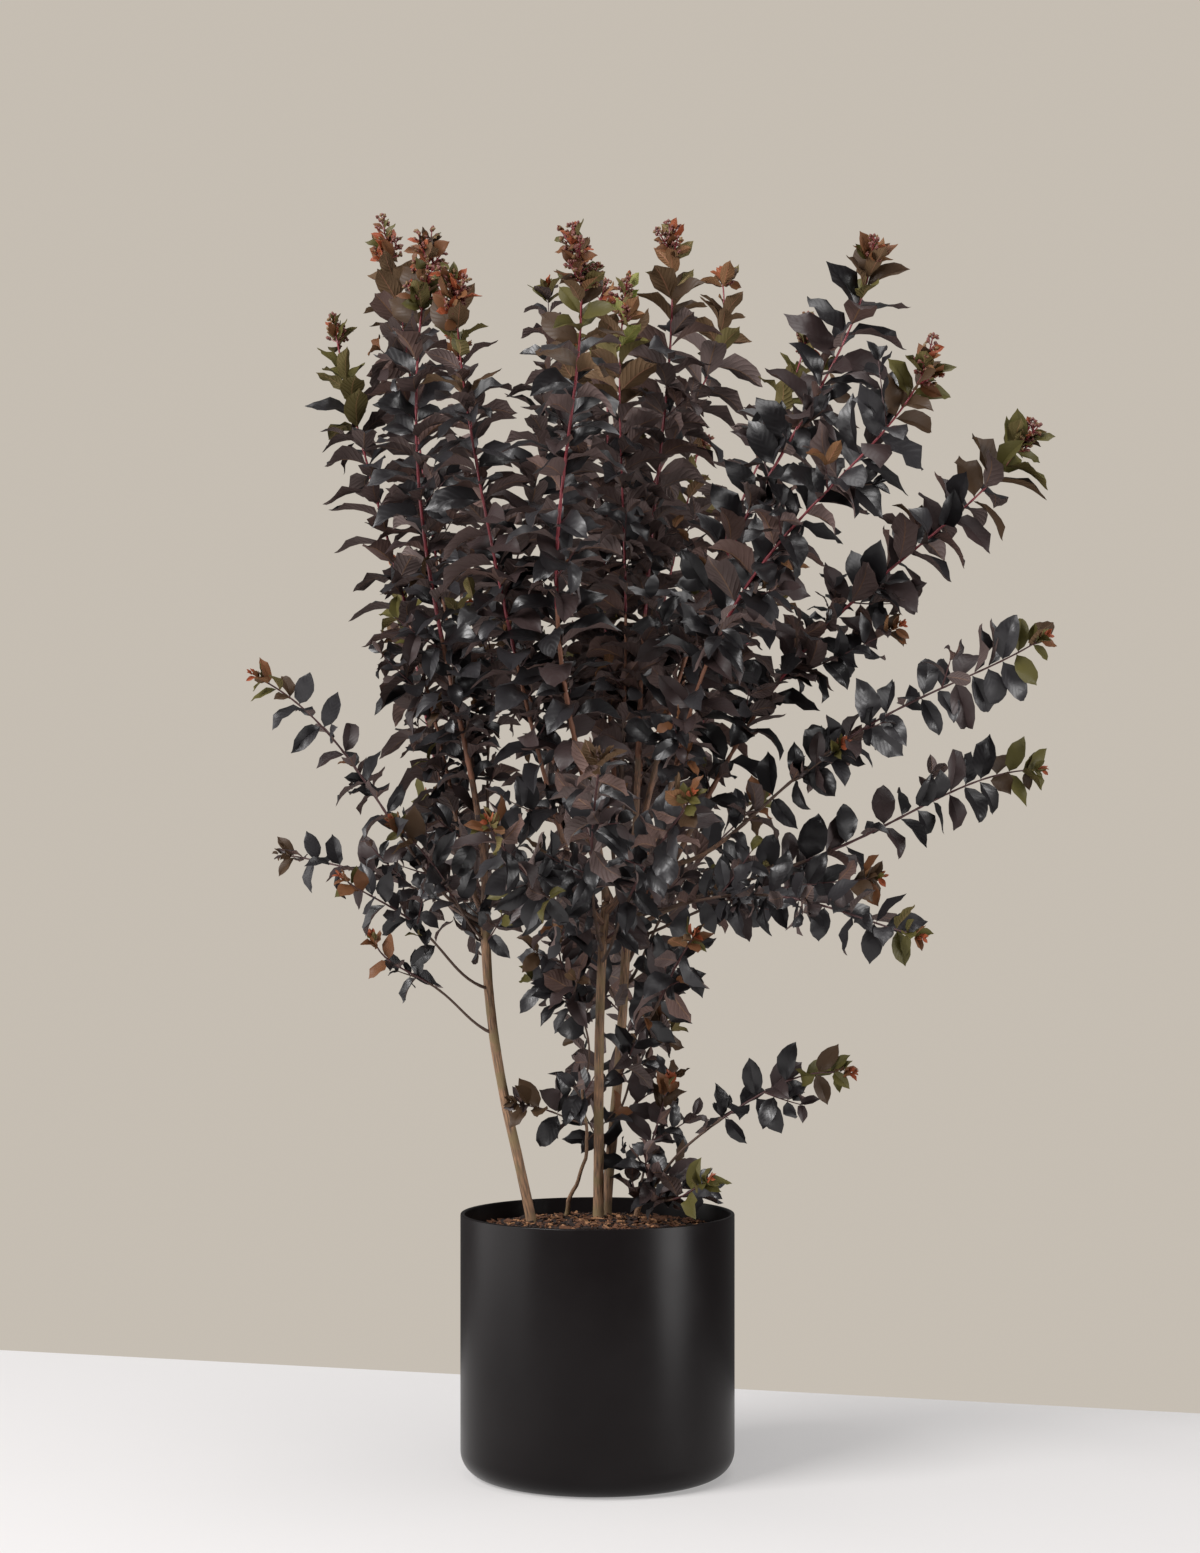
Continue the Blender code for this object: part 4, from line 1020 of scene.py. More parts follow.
@dataclass
class PottingMix:
    """A crumbly bed of mix, heaped toward the middle, with bark chips on it."""

    radius: float = 0.1722
    bottom: float = 0.2400
    edge: float = 0.3105
    heap: float = 0.0125
    rings: int = 17
    sides: int = 96
    lumps: tuple[Span, ...] = ((0.030, 0.006), (0.011, 0.004))
    chips: int = 1900
    seed: int = 11
    chip_lengths: Span = (0.005, 0.015)
    chip_widths: Span = (0.28, 0.60)
    chip_thicknesses: Span = (0.0010, 0.0030)
    chip_tilts: Span = (0.35, 0.30)
    chip_lifts: Span = (-0.001, 0.0035)
    large_share: float = 0.06
    large_scale: float = 1.5
    wall_gap: float = 0.004
    tone_weights: tuple[int, ...] = (5, 4, 2)

    CHIP_FACES = ((0, 3, 2, 1), (4, 5, 6, 7), (0, 1, 5, 4), (1, 2, 6, 5), (2, 3, 7, 6), (3, 0, 4, 7))

    def level(self, radius: float) -> float:
        """Height of the bed at a distance from its middle."""
        share = min(radius / self.radius, 1.0)
        return self.edge + self.heap * (1.0 - share ** 3)

    def build(self) -> list[bpy.types.Object]:
        """Model the bed and its chips."""
        deselect()
        bpy.ops.mesh.primitive_cylinder_add(
            vertices=self.sides, radius=self.radius, depth=self.edge - self.bottom,
            location=(0.0, 0.0, 0.5 * (self.edge + self.bottom)))
        bed = bpy.context.active_object
        settle(bed)
        select_faces(bed, lambda face: face.normal.z > 0.9)
        step = self.radius / (self.rings + 1)
        for ring in range(self.rings):
            rise = self.level(self.radius - (ring + 1) * step) - self.level(self.radius - ring * step)
            bpy.ops.mesh.inset(thickness=step)
            bpy.ops.transform.translate(value=(0.0, 0.0, rise))
        bpy.ops.object.mode_set(mode="OBJECT")
        surface = bed.vertex_groups.new(name="surface")
        inside = [v.index for v in bed.data.vertices
                  if v.co.z > self.edge - 1e-5 and math.hypot(v.co.x, v.co.y) < self.radius - 1e-4]
        surface.add(inside, 1.0, "REPLACE")
        for size, depth in self.lumps:
            crumbs = add_clouds(bed, size, depth)
            crumbs.direction = "Z"
            crumbs.vertex_group = "surface"
        apply_all(bed)
        smooth(bed, 60.0)
        return [bed, *self.scatter()]

    def scatter(self) -> list[bpy.types.Object]:
        """Scatter bark chips over the bed, in three tones."""
        draw = random.Random(self.seed)
        heaps = [Heap() for _ in CHIP_TONES]
        for _ in range(self.chips):
            radius = (self.radius - self.wall_gap) * math.sqrt(draw.random())
            turn = draw.uniform(0.0, math.tau)
            length = draw.uniform(*self.chip_lengths)
            length *= self.large_scale if draw.random() < self.large_share else 1.0
            wide = length * draw.uniform(*self.chip_widths)
            thick = draw.uniform(*self.chip_thicknesses)
            spin = Matrix.Rotation(draw.uniform(0.0, math.tau), 3, "Z")
            for axis, tilt in zip("XY", self.chip_tilts):
                spin = spin @ Matrix.Rotation(draw.gauss(0.0, tilt), 3, axis)
            place = Vector((radius * math.cos(turn), radius * math.sin(turn),
                            self.level(radius) + draw.uniform(*self.chip_lifts)))
            corners = []
            for z in (-0.5, 0.5):
                for x, y in ((-0.5, -0.5), (0.5, -0.5), (0.5, 0.5), (-0.5, 0.5)):
                    corner = Vector((length * x * draw.uniform(0.7, 1.1), wide * y * draw.uniform(0.5, 1.1),
                                     thick * z * draw.uniform(0.6, 1.2)))
                    corners.append(tuple(place + spin @ corner))
            tone = draw.choices(range(len(heaps)), weights=self.tone_weights)[0]
            heaps[tone].add(np.array(corners), self.CHIP_FACES)
        materials = [finish.material(f"bark chip {i + 1}") for i, finish in enumerate(CHIP_TONES)]
        return [heap.make(f"chips {i + 1}", [material], 30.0)
                for i, (heap, material) in enumerate(zip(heaps, materials))]

    def dress(self, pieces: Sequence[bpy.types.Object]) -> None:
        """Give bed and chips their finish and their place in the frame."""
        bed, *chips = pieces
        bed.data.materials.clear()
        bed.data.materials.append(SoilFinish().material("potting mix"))
        settle_piece(bed, "mix_bed", ["potting_mix"])
        for index, chip in enumerate(chips):
            settle_piece(chip, f"bark_chips_{index + 1}")


# ---------------------------------------------------------------- bare limbs

@dataclass
class BareLimb:
    """A stem or bough with bark relief, modelled straight and bent along its line."""

    name: str
    node: str
    line: Line
    end: float
    sides: int
    slot: str
    kink: float = 0.0
    stretch: float = 8.0
    ring_pitch: float = 0.0085
    ridge_size: float = 0.34
    relief: float = 0.09
    swell_size: float = 1.6
    swell: float = 0.05
    collar: float = 0.28
    collar_reach: float = 0.010

    STEP = 0.012
    KINK_RUN = 0.040
    KINK_SIDE = Vector((0.6, 0.3, 0.0))
    SUNK = 0.010
    SUNK_SWELL = 1.05
    END_REACH = 0.6
    END_SHARE = 0.55

    def course(self) -> tuple[list[Vector], list[float]]:
        """Middle points and radii, with any zigzag, a sunk foot on a stem and a collar on a bough."""
        length = self.line.length * self.end
        steps = max(8, round(length / self.STEP))
        shares = even_shares(0.0, self.end, steps)
        places = [self.line.point(share) for share in shares]
        radii = [self.line.radius(share) for share in shares]
        for place, share in zip(places, shares):
            swing = math.asin(math.sin(math.tau * share * length / self.KINK_RUN))
            place += self.KINK_SIDE * (self.kink * swing * (1.0 - share))
        if self.line.flare:
            places.insert(0, places[0] - UP * self.SUNK)
            radii.insert(0, radii[0] * self.SUNK_SWELL)
        else:
            radii = [radius * (1.0 + self.collar * math.exp(-i * length / steps / self.collar_reach))
                     for i, radius in enumerate(radii)]
        places.append(places[-1] + (places[-1] - places[-2]).normalized() * radii[-1] * self.END_REACH)
        radii.append(radii[-1] * self.END_SHARE)
        return places, radii

    def build(self) -> bpy.types.Object:
        """Model a straight ribbed rod, roughen it and bend it along the limb."""
        places, radii = self.course()
        length = sum((b - a).length for a, b in zip(places, places[1:]))
        tall = self.stretch * length
        deselect()
        bpy.ops.mesh.primitive_cylinder_add(vertices=self.sides, radius=1.0, depth=tall,
                                            location=(0.0, 0.0, 0.5 * tall))
        rod = bpy.context.active_object
        settle(rod)
        select_edges(rod, lambda a, b: abs(a.z - b.z) > 0.5 * tall)
        bpy.ops.mesh.subdivide(number_cuts=max(6, round(length / self.ring_pitch)))
        bpy.ops.object.mode_set(mode="OBJECT")
        for size, depth in ((self.ridge_size, self.relief), (self.swell_size, self.swell)):
            add_clouds(rod, size, 2.0 * depth)
        guide = self.guide(places, radii)
        bend = rod.modifiers.new("bend", "CURVE")
        bend.object = guide
        bend.deform_axis = "POS_Z"
        apply_all(rod)
        curve = guide.data
        bpy.data.objects.remove(guide, do_unlink=True)
        bpy.data.curves.remove(curve)
        smooth(rod, 55.0)
        return rod

    @staticmethod
    def guide(places: Sequence[Vector], radii: Sequence[float]) -> bpy.types.Object:
        """The curve that a rod is bent along; its radius sets the rod's thickness."""
        curve = bpy.data.curves.new("guide", "CURVE")
        curve.dimensions = "3D"
        curve.use_stretch = True
        curve.use_deform_bounds = True
        curve.use_radius = True
        spline = curve.splines.new("POLY")
        spline.points.add(len(places) - 1)
        for point, place, radius in zip(spline.points, places, radii):
            point.co = (*place, 1.0)
            point.radius = radius
        obj = bpy.data.objects.new("guide", curve)
        bpy.context.scene.collection.objects.link(obj)
        return obj

    def dress(self, rod: bpy.types.Object, material: bpy.types.Material) -> None:
        """Give the limb its bark and its place in the frame."""
        rod.data.materials.clear()
        rod.data.materials.append(material)
        settle_piece(rod, self.name, [self.node])


@dataclass
class BareLimbs:
    """All stems and the bare lower parts of the large limbs."""

    skeleton: Skeleton
    thin: float = 0.004
    thin_sides: int = 14
    stem_sides: int = 28
    bough_sides: int = 18

    def parts(self) -> list[BareLimb]:
        """List every bare limb."""
        found = []
        for stem in STEMS:
            sides = self.thin_sides if stem.radius < self.thin else self.stem_sides
            found.append(BareLimb(f"bark_{stem.name}", f"stem_{stem.name}",
                                  self.skeleton.lines[stem.name], 1.0, sides, "stem_wood", stem.kink))
        for limb in LIMBS:
            if limb.bough:
                found.append(BareLimb(f"bark_{limb.name}", f"bough_{limb.name}",
                                      self.skeleton.lines[limb.name], limb.bough, self.bough_sides,
                                      "bough_wood"))
        return found

    def build(self) -> None:
        """Model and dress every bare limb."""
        materials = {"stem_wood": STEM_BARK.material("stem bark"),
                     "bough_wood": BOUGH_BARK.material("bough bark")}
        for part in self.parts():
            part.dress(part.build(), materials[part.slot])


# ---------------------------------------------------------------- leaves

@dataclass(frozen=True)
class LeafForm:
    """Shape of one leaf: lengths in metres, bends in radians, the rest as shares of its width."""

    length: float
    width: float
    rise: float
    fall: float
    hook: float
    fold: float
    cup: float
    wave: float
    phase: float
    twist: float


class LeafCutter:
    """Cuts closed leaf blades: an upper skin, and an under skin with a raised midrib that meets its edge."""

    STATIONS = (0.0, 0.06, 0.18, 0.34, 0.52, 0.69, 0.82, 0.92, 1.0)
    WIDTHS = (0.0, 0.12, 0.66, 0.95, 1.0, 0.84, 0.52, 0.18, 0.0)
    INNER = 0.55
    RIB = 0.045
    THICKNESS = 0.00045
    RIB_HEIGHT = 0.0005
    RIB_EDGES = (6, 7)
    STEPS = 40
    ROW = 9
    FALL_POWER = 1.3
    HOOK_FROM = 0.78
    HOOK_LENGTH = 0.22
    RIPPLES = 2.1
    RIPPLE_SHIFT = 1.3

    def __init__(self) -> None:
        """Lay out the faces, slots and map that all blades share."""
        self.across = (-1.0, -self.INNER, 0.0, self.INNER, 1.0, -self.INNER, -self.RIB, self.RIB, self.INNER)
        self.upper = ((0, 1), (1, 2), (2, 3), (3, 4))
        self.under = ((0, 5), (5, 6), (6, 7), (7, 8), (8, 4))
        rows = len(self.STATIONS) - 2
        tip = 1 + rows * self.ROW
        self.faces: list[tuple[int, ...]] = []
        self.slots: list[int] = []
        self.add_row(lambda low, high: (0, 1 + low, 1 + high),
                     lambda low, high: (0, 1 + high, 1 + low))
        for near in range(1, tip - self.ROW, self.ROW):
            far = near + self.ROW
            self.add_row(lambda low, high: (near + low, far + low, far + high, near + high),
                         lambda low, high: (near + low, near + high, far + high, far + low))
        last = tip - self.ROW
        self.add_row(lambda low, high: (last + low, tip, last + high),
                     lambda low, high: (last + low, last + high, tip))
        uvs = [(0.5, 0.0)]
        for station in self.STATIONS[1:-1]:
            uvs += [(0.5 + 0.5 * s, station) for s in self.across]
        self.uvs = np.array([*uvs, (0.5, 1.0)])
        self.feelers = [1 + row * self.ROW + 2 for row in range(1, rows)] + \
            [1 + 2 * self.ROW, 1 + 2 * self.ROW + 4, tip]

    def add_row(self, upper: Callable[[int, int], tuple[int, ...]],
                under: Callable[[int, int], tuple[int, ...]]) -> None:
        """Add one row of faces, each skin's from the places of its edges in a ring of vertices."""
        for low, high in self.upper:
            self.faces.append(upper(low, high))
            self.slots.append(0)
        for low, high in self.under:
            self.faces.append(under(low, high))
            self.slots.append(2 if (low, high) == self.RIB_EDGES else 1)

    def blade(self, form: LeafForm) -> np.ndarray:
        """Vertices of one blade.

        Args:
            form: The leaf's shape.

        Returns:
            One row each, root at the origin, growing along +X with its upper side up.
        """
        share = (np.arange(self.STEPS) + 0.5) / self.STEPS
        hooked = np.clip((share - self.HOOK_FROM) / self.HOOK_LENGTH, 0.0, 1.0)
        angle = form.rise - form.fall * share ** self.FALL_POWER + form.hook * hooked
        step = form.length / self.STEPS
        x = np.concatenate(([0.0], np.cumsum(np.cos(angle)) * step))
        z = np.concatenate(([0.0], np.cumsum(np.sin(angle)) * step))
        half = 0.5 * form.width
        rows = [(0.0, 0.0, 0.0)]
        for station, wide in zip(self.STATIONS[1:-1], self.WIDTHS[1:-1]):
            index = round(station * self.STEPS)
            bend = angle[min(index, self.STEPS - 1)]
            turn = form.twist * station
            for k, s in enumerate(self.across):
                reach = half * wide
                y = reach * s * math.cos(form.fold)
                h = reach * (abs(s) * math.sin(form.fold) + form.cup * s * s)
                shift = self.RIPPLE_SHIFT if s > 0 else 0.0
                ripple = math.sin(math.tau * self.RIPPLES * station + form.phase + shift)
                h += half * form.wave * ripple * s * s * min(1.0, 1.6 * wide)
                if k > 4:
                    h -= self.THICKNESS + (self.RIB_HEIGHT if k in self.RIB_EDGES else 0.0)
                y, h = y * math.cos(turn) - h * math.sin(turn), y * math.sin(turn) + h * math.cos(turn)
                rows.append((x[index] - h * math.sin(bend), y, z[index] + h * math.cos(bend)))
        rows.append((x[-1], 0.0, z[-1]))
        return np.array(rows)


def around(direction: Vector, turn: float) -> Vector:
    """A unit vector square to `direction`, turned about it; turn 0 points sideways."""
    side = direction.cross(UP)
    if side.length < 0.05:
        side = direction.cross(Vector((0.0, 1.0, 0.0)))
    side.normalize()
    return Matrix.Rotation(turn, 3, direction) @ side


def outward(along: Vector, turn: float, ahead: float = 0.60, aside: float = 0.80) -> Vector:
    """A direction that leaves a limb, part ahead along it and part aside."""
    return (along * ahead + around(along, turn) * aside).normalized()


def leaf_frame(along: Vector, turn: float, out: float, aim: Vector) -> Matrix:
    """Turn of a leaf, its upper side as near to `aim` as its direction allows.

    Args:
        along: Direction of the shoot.
        turn: Where about the shoot it stands.
        out: Angle between leaf and shoot.
        aim: Where the upper side should face.

    Returns:
        A 3 by 3 matrix whose columns are the leaf's length, width and upper normal.
    """
    radial = around(along, turn)
    direction = (along * math.cos(out) + radial * math.sin(out)).normalized()
    across = aim.cross(direction)
    if across.length < 0.1:
        across = along.cross(radial)
    across.normalize()
    return Matrix((direction, across, direction.cross(across))).transposed()


class Room:
    """Remembers where limbs and leaves already are, so that new leaves find free air."""

    CELL = 0.010

    def __init__(self) -> None:
        """Start with free air everywhere."""
        self.cells: dict[tuple[int, int, int], list[tuple[float, float, float]]] = {}

    def put(self, points: Iterable[Sequence[float]]) -> None:
        """Mark points as taken."""
        for x, y, z in points:
            key = (math.floor(x / self.CELL), math.floor(y / self.CELL), math.floor(z / self.CELL))
            self.cells.setdefault(key, []).append((x, y, z))

    def clearance(self, points: Iterable[Sequence[float]]) -> float:
        """Distance from any of the points to the nearest taken one, at most a cell's size."""
        best = self.CELL ** 2
        for x, y, z in points:
            i, j, k = (math.floor(value / self.CELL) for value in (x, y, z))
            for di in (-1, 0, 1):
                for dj in (-1, 0, 1):
                    for dk in (-1, 0, 1):
                        for a, b, c in self.cells.get((i + di, j + dj, k + dk), ()):
                            best = min(best, (a - x) ** 2 + (b - y) ** 2 + (c - z) ** 2)
        return math.sqrt(best)


# ---------------------------------------------------------------- leafy shoots

@dataclass(frozen=True)
class Vigour:
    """How one habit grows: the length, pitch and spread (`out`) of its leaves.

    New, young and turning colours reach down to `new`, `young` and `turning` from the tip, and
    leaves are full grown from `full_size` on. `least` is the size of its youngest leaves against
    the grown ones. `outward` and `flat` say how far upper sides turn away from the plant's middle
    and to the side of their own shoot, and `stray` how much they vary; `fall` and `hook` are the
    ranges of a blade's bend.
    """

    leaf: float
    pitch: float
    out: float
    new: float
    young: float
    turning: float
    full_size: float
    least: float
    outward: float
    flat: float
    stray: float
    fall: Span
    hook: Span


VIGOURS = {
    Habit.WAND: Vigour(0.076, 0.0207, math.radians(70), 0.040, 0.088, 0.135, 0.155, 0.40, 0.45, 0.0, 0.34,
                       (1.05, 1.75), (0.2, 1.2)),
    Habit.LEANING: Vigour(0.076, 0.0205, math.radians(64), 0.030, 0.072, 0.120, 0.090, 0.56, 0.25, 0.5, 0.34,
                          (0.80, 1.60), (-0.3, 1.2)),
    Habit.SIDE: Vigour(0.062, 0.0265, math.radians(60), 0.018, 0.040, 0.062, 0.060, 0.70, 0.20, 0.9, 0.40,
                       (0.70, 1.60), (-1.2, 1.3)),
    Habit.ARM: Vigour(0.049, 0.0225, math.radians(62), 0.014, 0.034, 0.055, 0.060, 0.62, 0.25, 0.45, 0.34,
                      (0.80, 1.50), (-0.3, 1.3)),
    Habit.LOW: Vigour(0.058, 0.0240, math.radians(58), 0.014, 0.034, 0.050, 0.060, 0.60, 0.20, 0.8, 0.36,
                      (0.60, 1.25), (-0.8, 1.2)),
}

GROWN = {Tone.NIGHT: 6, Tone.SLATE: 4, Tone.PLUM: 3}
TURNING = {
    TipLook.DARK: {Tone.NIGHT: 3, Tone.SLATE: 3, Tone.PLUM: 4},
    TipLook.COPPER: {Tone.NIGHT: 2, Tone.SLATE: 3, Tone.PLUM: 3, Tone.UMBER: 2},
    TipLook.GREEN: {Tone.NIGHT: 1, Tone.SLATE: 3, Tone.PLUM: 2, Tone.UMBER: 3, Tone.OLIVE: 1},
    TipLook.GOLD: {Tone.PLUM: 3, Tone.UMBER: 3, Tone.OLIVE: 3},
}
YOUNG = {
    TipLook.DARK: {Tone.PLUM: 4, Tone.UMBER: 2},
    TipLook.COPPER: {Tone.UMBER: 3, Tone.BRONZE: 6, Tone.OLIVE: 4},
    TipLook.GREEN: {Tone.UMBER: 3, Tone.OLIVE: 6},
    TipLook.GOLD: {Tone.OLIVE: 4, Tone.LIME: 3, Tone.BRONZE: 2},
}
NEW = {
    TipLook.DARK: {Tone.UMBER: 3, Tone.PLUM: 2},
    TipLook.COPPER: {Tone.BRONZE: 5, Tone.RUST: 2, Tone.OLIVE: 3},
    TipLook.GREEN: {Tone.OLIVE: 5, Tone.BRONZE: 2},
    TipLook.GOLD: {Tone.LIME: 4, Tone.OLIVE: 2, Tone.BRONZE: 2},
}


@dataclass(frozen=True)
class Sprouts:
    """Short leafy twigs straight from a stem or limb, between two shares of its length."""

    limb: str
    low: float
    high: float
    count: int
    reach: Span


SPROUTS = (
    Sprouts("back", 0.16, 0.96, 10, (0.055, 0.095)),
    Sprouts("centre", 0.72, 0.98, 3, (0.040, 0.070)),
    Sprouts("left", 0.84, 0.99, 4, (0.040, 0.070)),
    Sprouts("left_leader", 0.02, 0.16, 4, (0.050, 0.085)),
    Sprouts("front_left", 0.05, 0.55, 5, (0.045, 0.080)),
    Sprouts("centre_left", 0.03, 0.20, 4, (0.050, 0.095)),
    Sprouts("right_second", 0.42, 0.84, 5, (0.045, 0.080)),
    Sprouts("right_leader", 0.58, 0.82, 3, (0.045, 0.070)),
    Sprouts("right_long", 0.40, 0.70, 2, (0.040, 0.060)),
    Sprouts("crooked_top", 0.50, 1.00, 5, (0.040, 0.080)),
    Sprouts("right_sucker", 0.30, 1.00, 5, (0.040, 0.075)),
    Sprouts("crooked_sucker", 0.55, 1.00, 4, (0.035, 0.060)),
)


@dataclass(frozen=True)
class Offshoot:
    """A longer leafy side shoot that leaves a limb at a share of its length and rises to `tip`."""

    name: str
    limb: str
    at: float
    tip: Place
    look: Look
    sag: float = 0.020
    steps: int = 14


OFFSHOOTS = (
    Offshoot("between", "centre_left", 0.52, (-0.062, -0.13, 1.500), Look(Habit.WAND, TipLook.COPPER)),
    Offshoot("right_fork", "right_long", 0.46, (0.384, 0.02, 1.096), Look(Habit.SIDE, TipLook.COPPER),
             0.006, 7),
    Offshoot("right_spur", "right_middle", 0.33, (0.303, -0.08, 0.936), Look(Habit.LOW, TipLook.COPPER),
             0.003, 4),
)


class Wood(Enum):
    """Colour groups of the shoots' own stems, by slot."""

    BROWN = 0
    RUSSET = 1
    CRIMSON = 2
    WINE = 3


WOOD_FINISHES = {Wood.BROWN: TWIG_BROWN, Wood.RUSSET: RUSSET, Wood.CRIMSON: CRIMSON, Wood.WINE: WINE}


@dataclass
class Foliage:
    """All leafy shoots: their own stems, side twigs, leaves and sprays of flower buds."""

    skeleton: Skeleton
    cutter: LeafCutter = field(default_factory=LeafCutter)
    limbs_taken: Room = field(default_factory=Room)
    leaves_taken: Room = field(default_factory=Room)
    leaves: dict[Tone, Heap] = field(default_factory=lambda: {tone: Heap() for tone in Tone})
    shoots: Heap = field(default_factory=Heap)
    twigs: Heap = field(default_factory=Heap)
    stalks: Heap = field(default_factory=Heap)
    buds: tuple[Heap, Heap] = field(default_factory=lambda: (Heap(), Heap()))
    shoot_sides: int = 8
    twig_sides: int = 5
    ring_pitch: float = 0.010
    limb_clear: float = 0.0050
    leaf_clear: float = 0.0065
    thick: float = 0.0030
    thinnest: float = 0.0009
    sag: float = 0.55
    free_size: float = 0.030
    width_share: float = 0.530
    stem_share: float = 0.85
    bare_half: float = 0.012
    bronze_size: float = 0.047
    rust_size: float = 0.034
    tuft_height: float = 0.020
    low_tuft_height: float = 0.006
    tuft_reach: float = 0.031
    crowding: float = 0.34
    placed: int = 0

    BARE_FROM = 0.36
    BARE_TO = 0.76
    TWIG_PITCH = 0.24
    TWIG_RANGE = (0.06, 0.78)
    TWIG_REACH = 0.105
    TWIG_OUT = math.radians(50)
    TWIG_TURN = math.radians(137.5)
    WOOD_BOUNDS = {True: (0.16, 0.42), False: (0.0, 0.45)}
    SPRIG_PITCH = 0.110
    SPRIG_REACH = (0.022, 0.046)
    MARK_PITCH = 0.005
    MIDDLE_DEPTH = 0.10
    SWINGS = (0.0, 0.35, -0.35, 0.7, -0.7)
    RISE = (0.15, 0.50)
    FOLD = (0.22, 0.72)
    CUP = (-0.38, 0.05)
    WAVE = (0.06, 0.26)
    TWIST = 0.36
    PLANTER_WALL = (0.168, 0.182)
    PLANTER_TOP = 0.342
    MIX_TOP = 0.330
    TUFT_TIERS = ((0.50, 0.95), (0.44, 0.80), (0.34, 0.62), (0.25, 0.45), (0.17, 0.28))
    TUFT_STEP = 0.0050
    SPRAY_STEPS = 8
    SPRAY_PITCH = 0.0082
    SPRAY_LEAVES = (0.022, 0.034)
    RED_SIZE = 0.024
    RED_SHARE = 0.60
    BUD_LEVELS = (-0.9, -0.6, 0.1, 0.8, 1.35)
    BUD_WIDTHS = (0.25, 0.75, 1.0, 0.65, 0.12)
    BUD_RED_SHARE = 0.68
    BUD_PITCH = 0.0055
    BUD_OFF = 0.0026
    BUD_RADII = (0.0015, 0.0023)
    END_BUD_RADII = (0.0018, 0.0026)

    def build(self) -> None:
        """Grow every shoot and make the joined pieces."""
        self.mark_limbs()
        for limb in LIMBS:
            self.grow(limb)
        for sprouts in SPROUTS:
            self.sprout(sprouts)
        for offshoot in OFFSHOOTS:
            self.branch_off(offshoot)
        LOG.info("leaves placed: %d", self.placed)
        nodes = [f"foliage_{limb.name}" for limb in LIMBS]
        for tone, heap in self.leaves.items():
            if heap.count:
                piece = heap.make(f"leaves_{tone.value}", LEAF_FINISHES[tone].materials(tone), 38.0)
                settle_piece(piece, f"leaves_{tone.value}", nodes)
        woods = [WOOD_FINISHES[wood].material(f"shoot {wood.name.lower()}") for wood in Wood]
        settle_piece(self.shoots.make("shoots", woods, 60.0), "shoots")
        settle_piece(self.twigs.make("twigs", woods, 60.0), "twigs")
        stalk = [CRIMSON.material("bud stalk")]
        settle_piece(self.stalks.make("bud_stalks", stalk, 60.0), "bud_stalks")
        for label, finish, heap in (("red", BUD_RED, self.buds[0]), ("olive", BUD_OLIVE, self.buds[1])):
            settle_piece(heap.make(f"buds_{label}", [finish.material(f"bud {label}")], 60.0),
                         f"flower_buds_{label}")

    def mark_limbs(self) -> None:
        """Mark the middle lines of all limbs, and the surface of thick ones, as taken."""
        for line in self.skeleton.lines.values():
            steps = max(2, round(line.length / self.MARK_PITCH))
            for share in even_shares(0.0, 1.0, steps):
                place, radius = line.point(share), line.radius(share)
                self.limbs_taken.put([place])
                if radius > self.thick:
                    along = line.along(share)
                    self.limbs_taken.put(place + around(along, math.radians(60.0 * i)) * radius
                                         for i in range(6))

    def sprout(self, sprouts: Sprouts) -> None:
        """Grow the short twigs of one stem or limb."""
        line = self.skeleton.lines[sprouts.limb]
        draw = random.Random(f"{sprouts.limb} sprouts")
        turn = draw.uniform(0.0, math.tau)
        for i in range(sprouts.count):
            share = sprouts.low + (sprouts.high - sprouts.low) * (i + draw.random()) / sprouts.count
            turn += self.TWIG_TURN
            along = line.along(share)
            heading = outward(along, turn)
            root = line.point(share) + around(along, turn) * line.radius(share) * 0.5
            reach = draw.uniform(*sprouts.reach)
            look = Look(Habit.LOW, draw.choice((TipLook.DARK, TipLook.COPPER, TipLook.GREEN)))
            self.twig([root + heading * run + UP * (1.5 * run * run) for run in even_shares(0.0, reach, 5)],
                      look, draw, 0.95)

    def branch_off(self, offshoot: Offshoot) -> None:
        """Grow one longer side shoot with its young tuft."""
        draw = random.Random(f"{offshoot.name} offshoot")
        root, tip = self.skeleton.lines[offshoot.limb].point(offshoot.at), Vector(offshoot.tip)
        out = Vector((tip.x - root.x, tip.y - root.y, 0.0)).normalized()
        places = [root.lerp(tip, share) + out * (offshoot.sag * 4.0 * share * (1.0 - share))
                  for share in even_shares(0.0, 1.0, offshoot.steps)]
        self.twig(places, offshoot.look, draw, 0.95)
        self.young_tuft(tip, (places[-1] - places[-2]).normalized(), offshoot.look, draw)

    def grow(self, limb: Limb) -> None:
        """Grow one shoot with all that it carries."""
        line = self.skeleton.lines[limb.name]
        look = LOOKS[limb.name]
        draw = random.Random(f"{limb.name} dress")
        spare = look.buds or (self.tuft_height if look.tall else self.low_tuft_height)
        end = 1.0 - max(spare, limb.tip[2] + self.tuft_reach - CAD_BOX[1][2]) / line.length
        self.own_stem(limb, line, look, end, draw)
        for places in self.side_twigs(limb, line):
            self.twig(places, look, draw, 0.78)
        self.pairs(limb, line, look, end, draw)
        self.sprigs(limb, line, look, end, draw)
        for i in range(look.sprays):
            share = end - (0.004 + 0.012 * i) / line.length
            heading = outward(line.along(share), 2.4 * i + draw.uniform(-0.4, 0.4), 1.0)
            self.bud_spray(line.point(share), heading, draw.uniform(0.028, 0.044), look.tip, draw)
        if look.buds:
            self.bud_spray(line.point(end), line.along(0.98), look.buds, look.tip, draw)
        else:
            self.young_tuft(line.point(end), line.along(0.98), look, draw)

    # -- stems

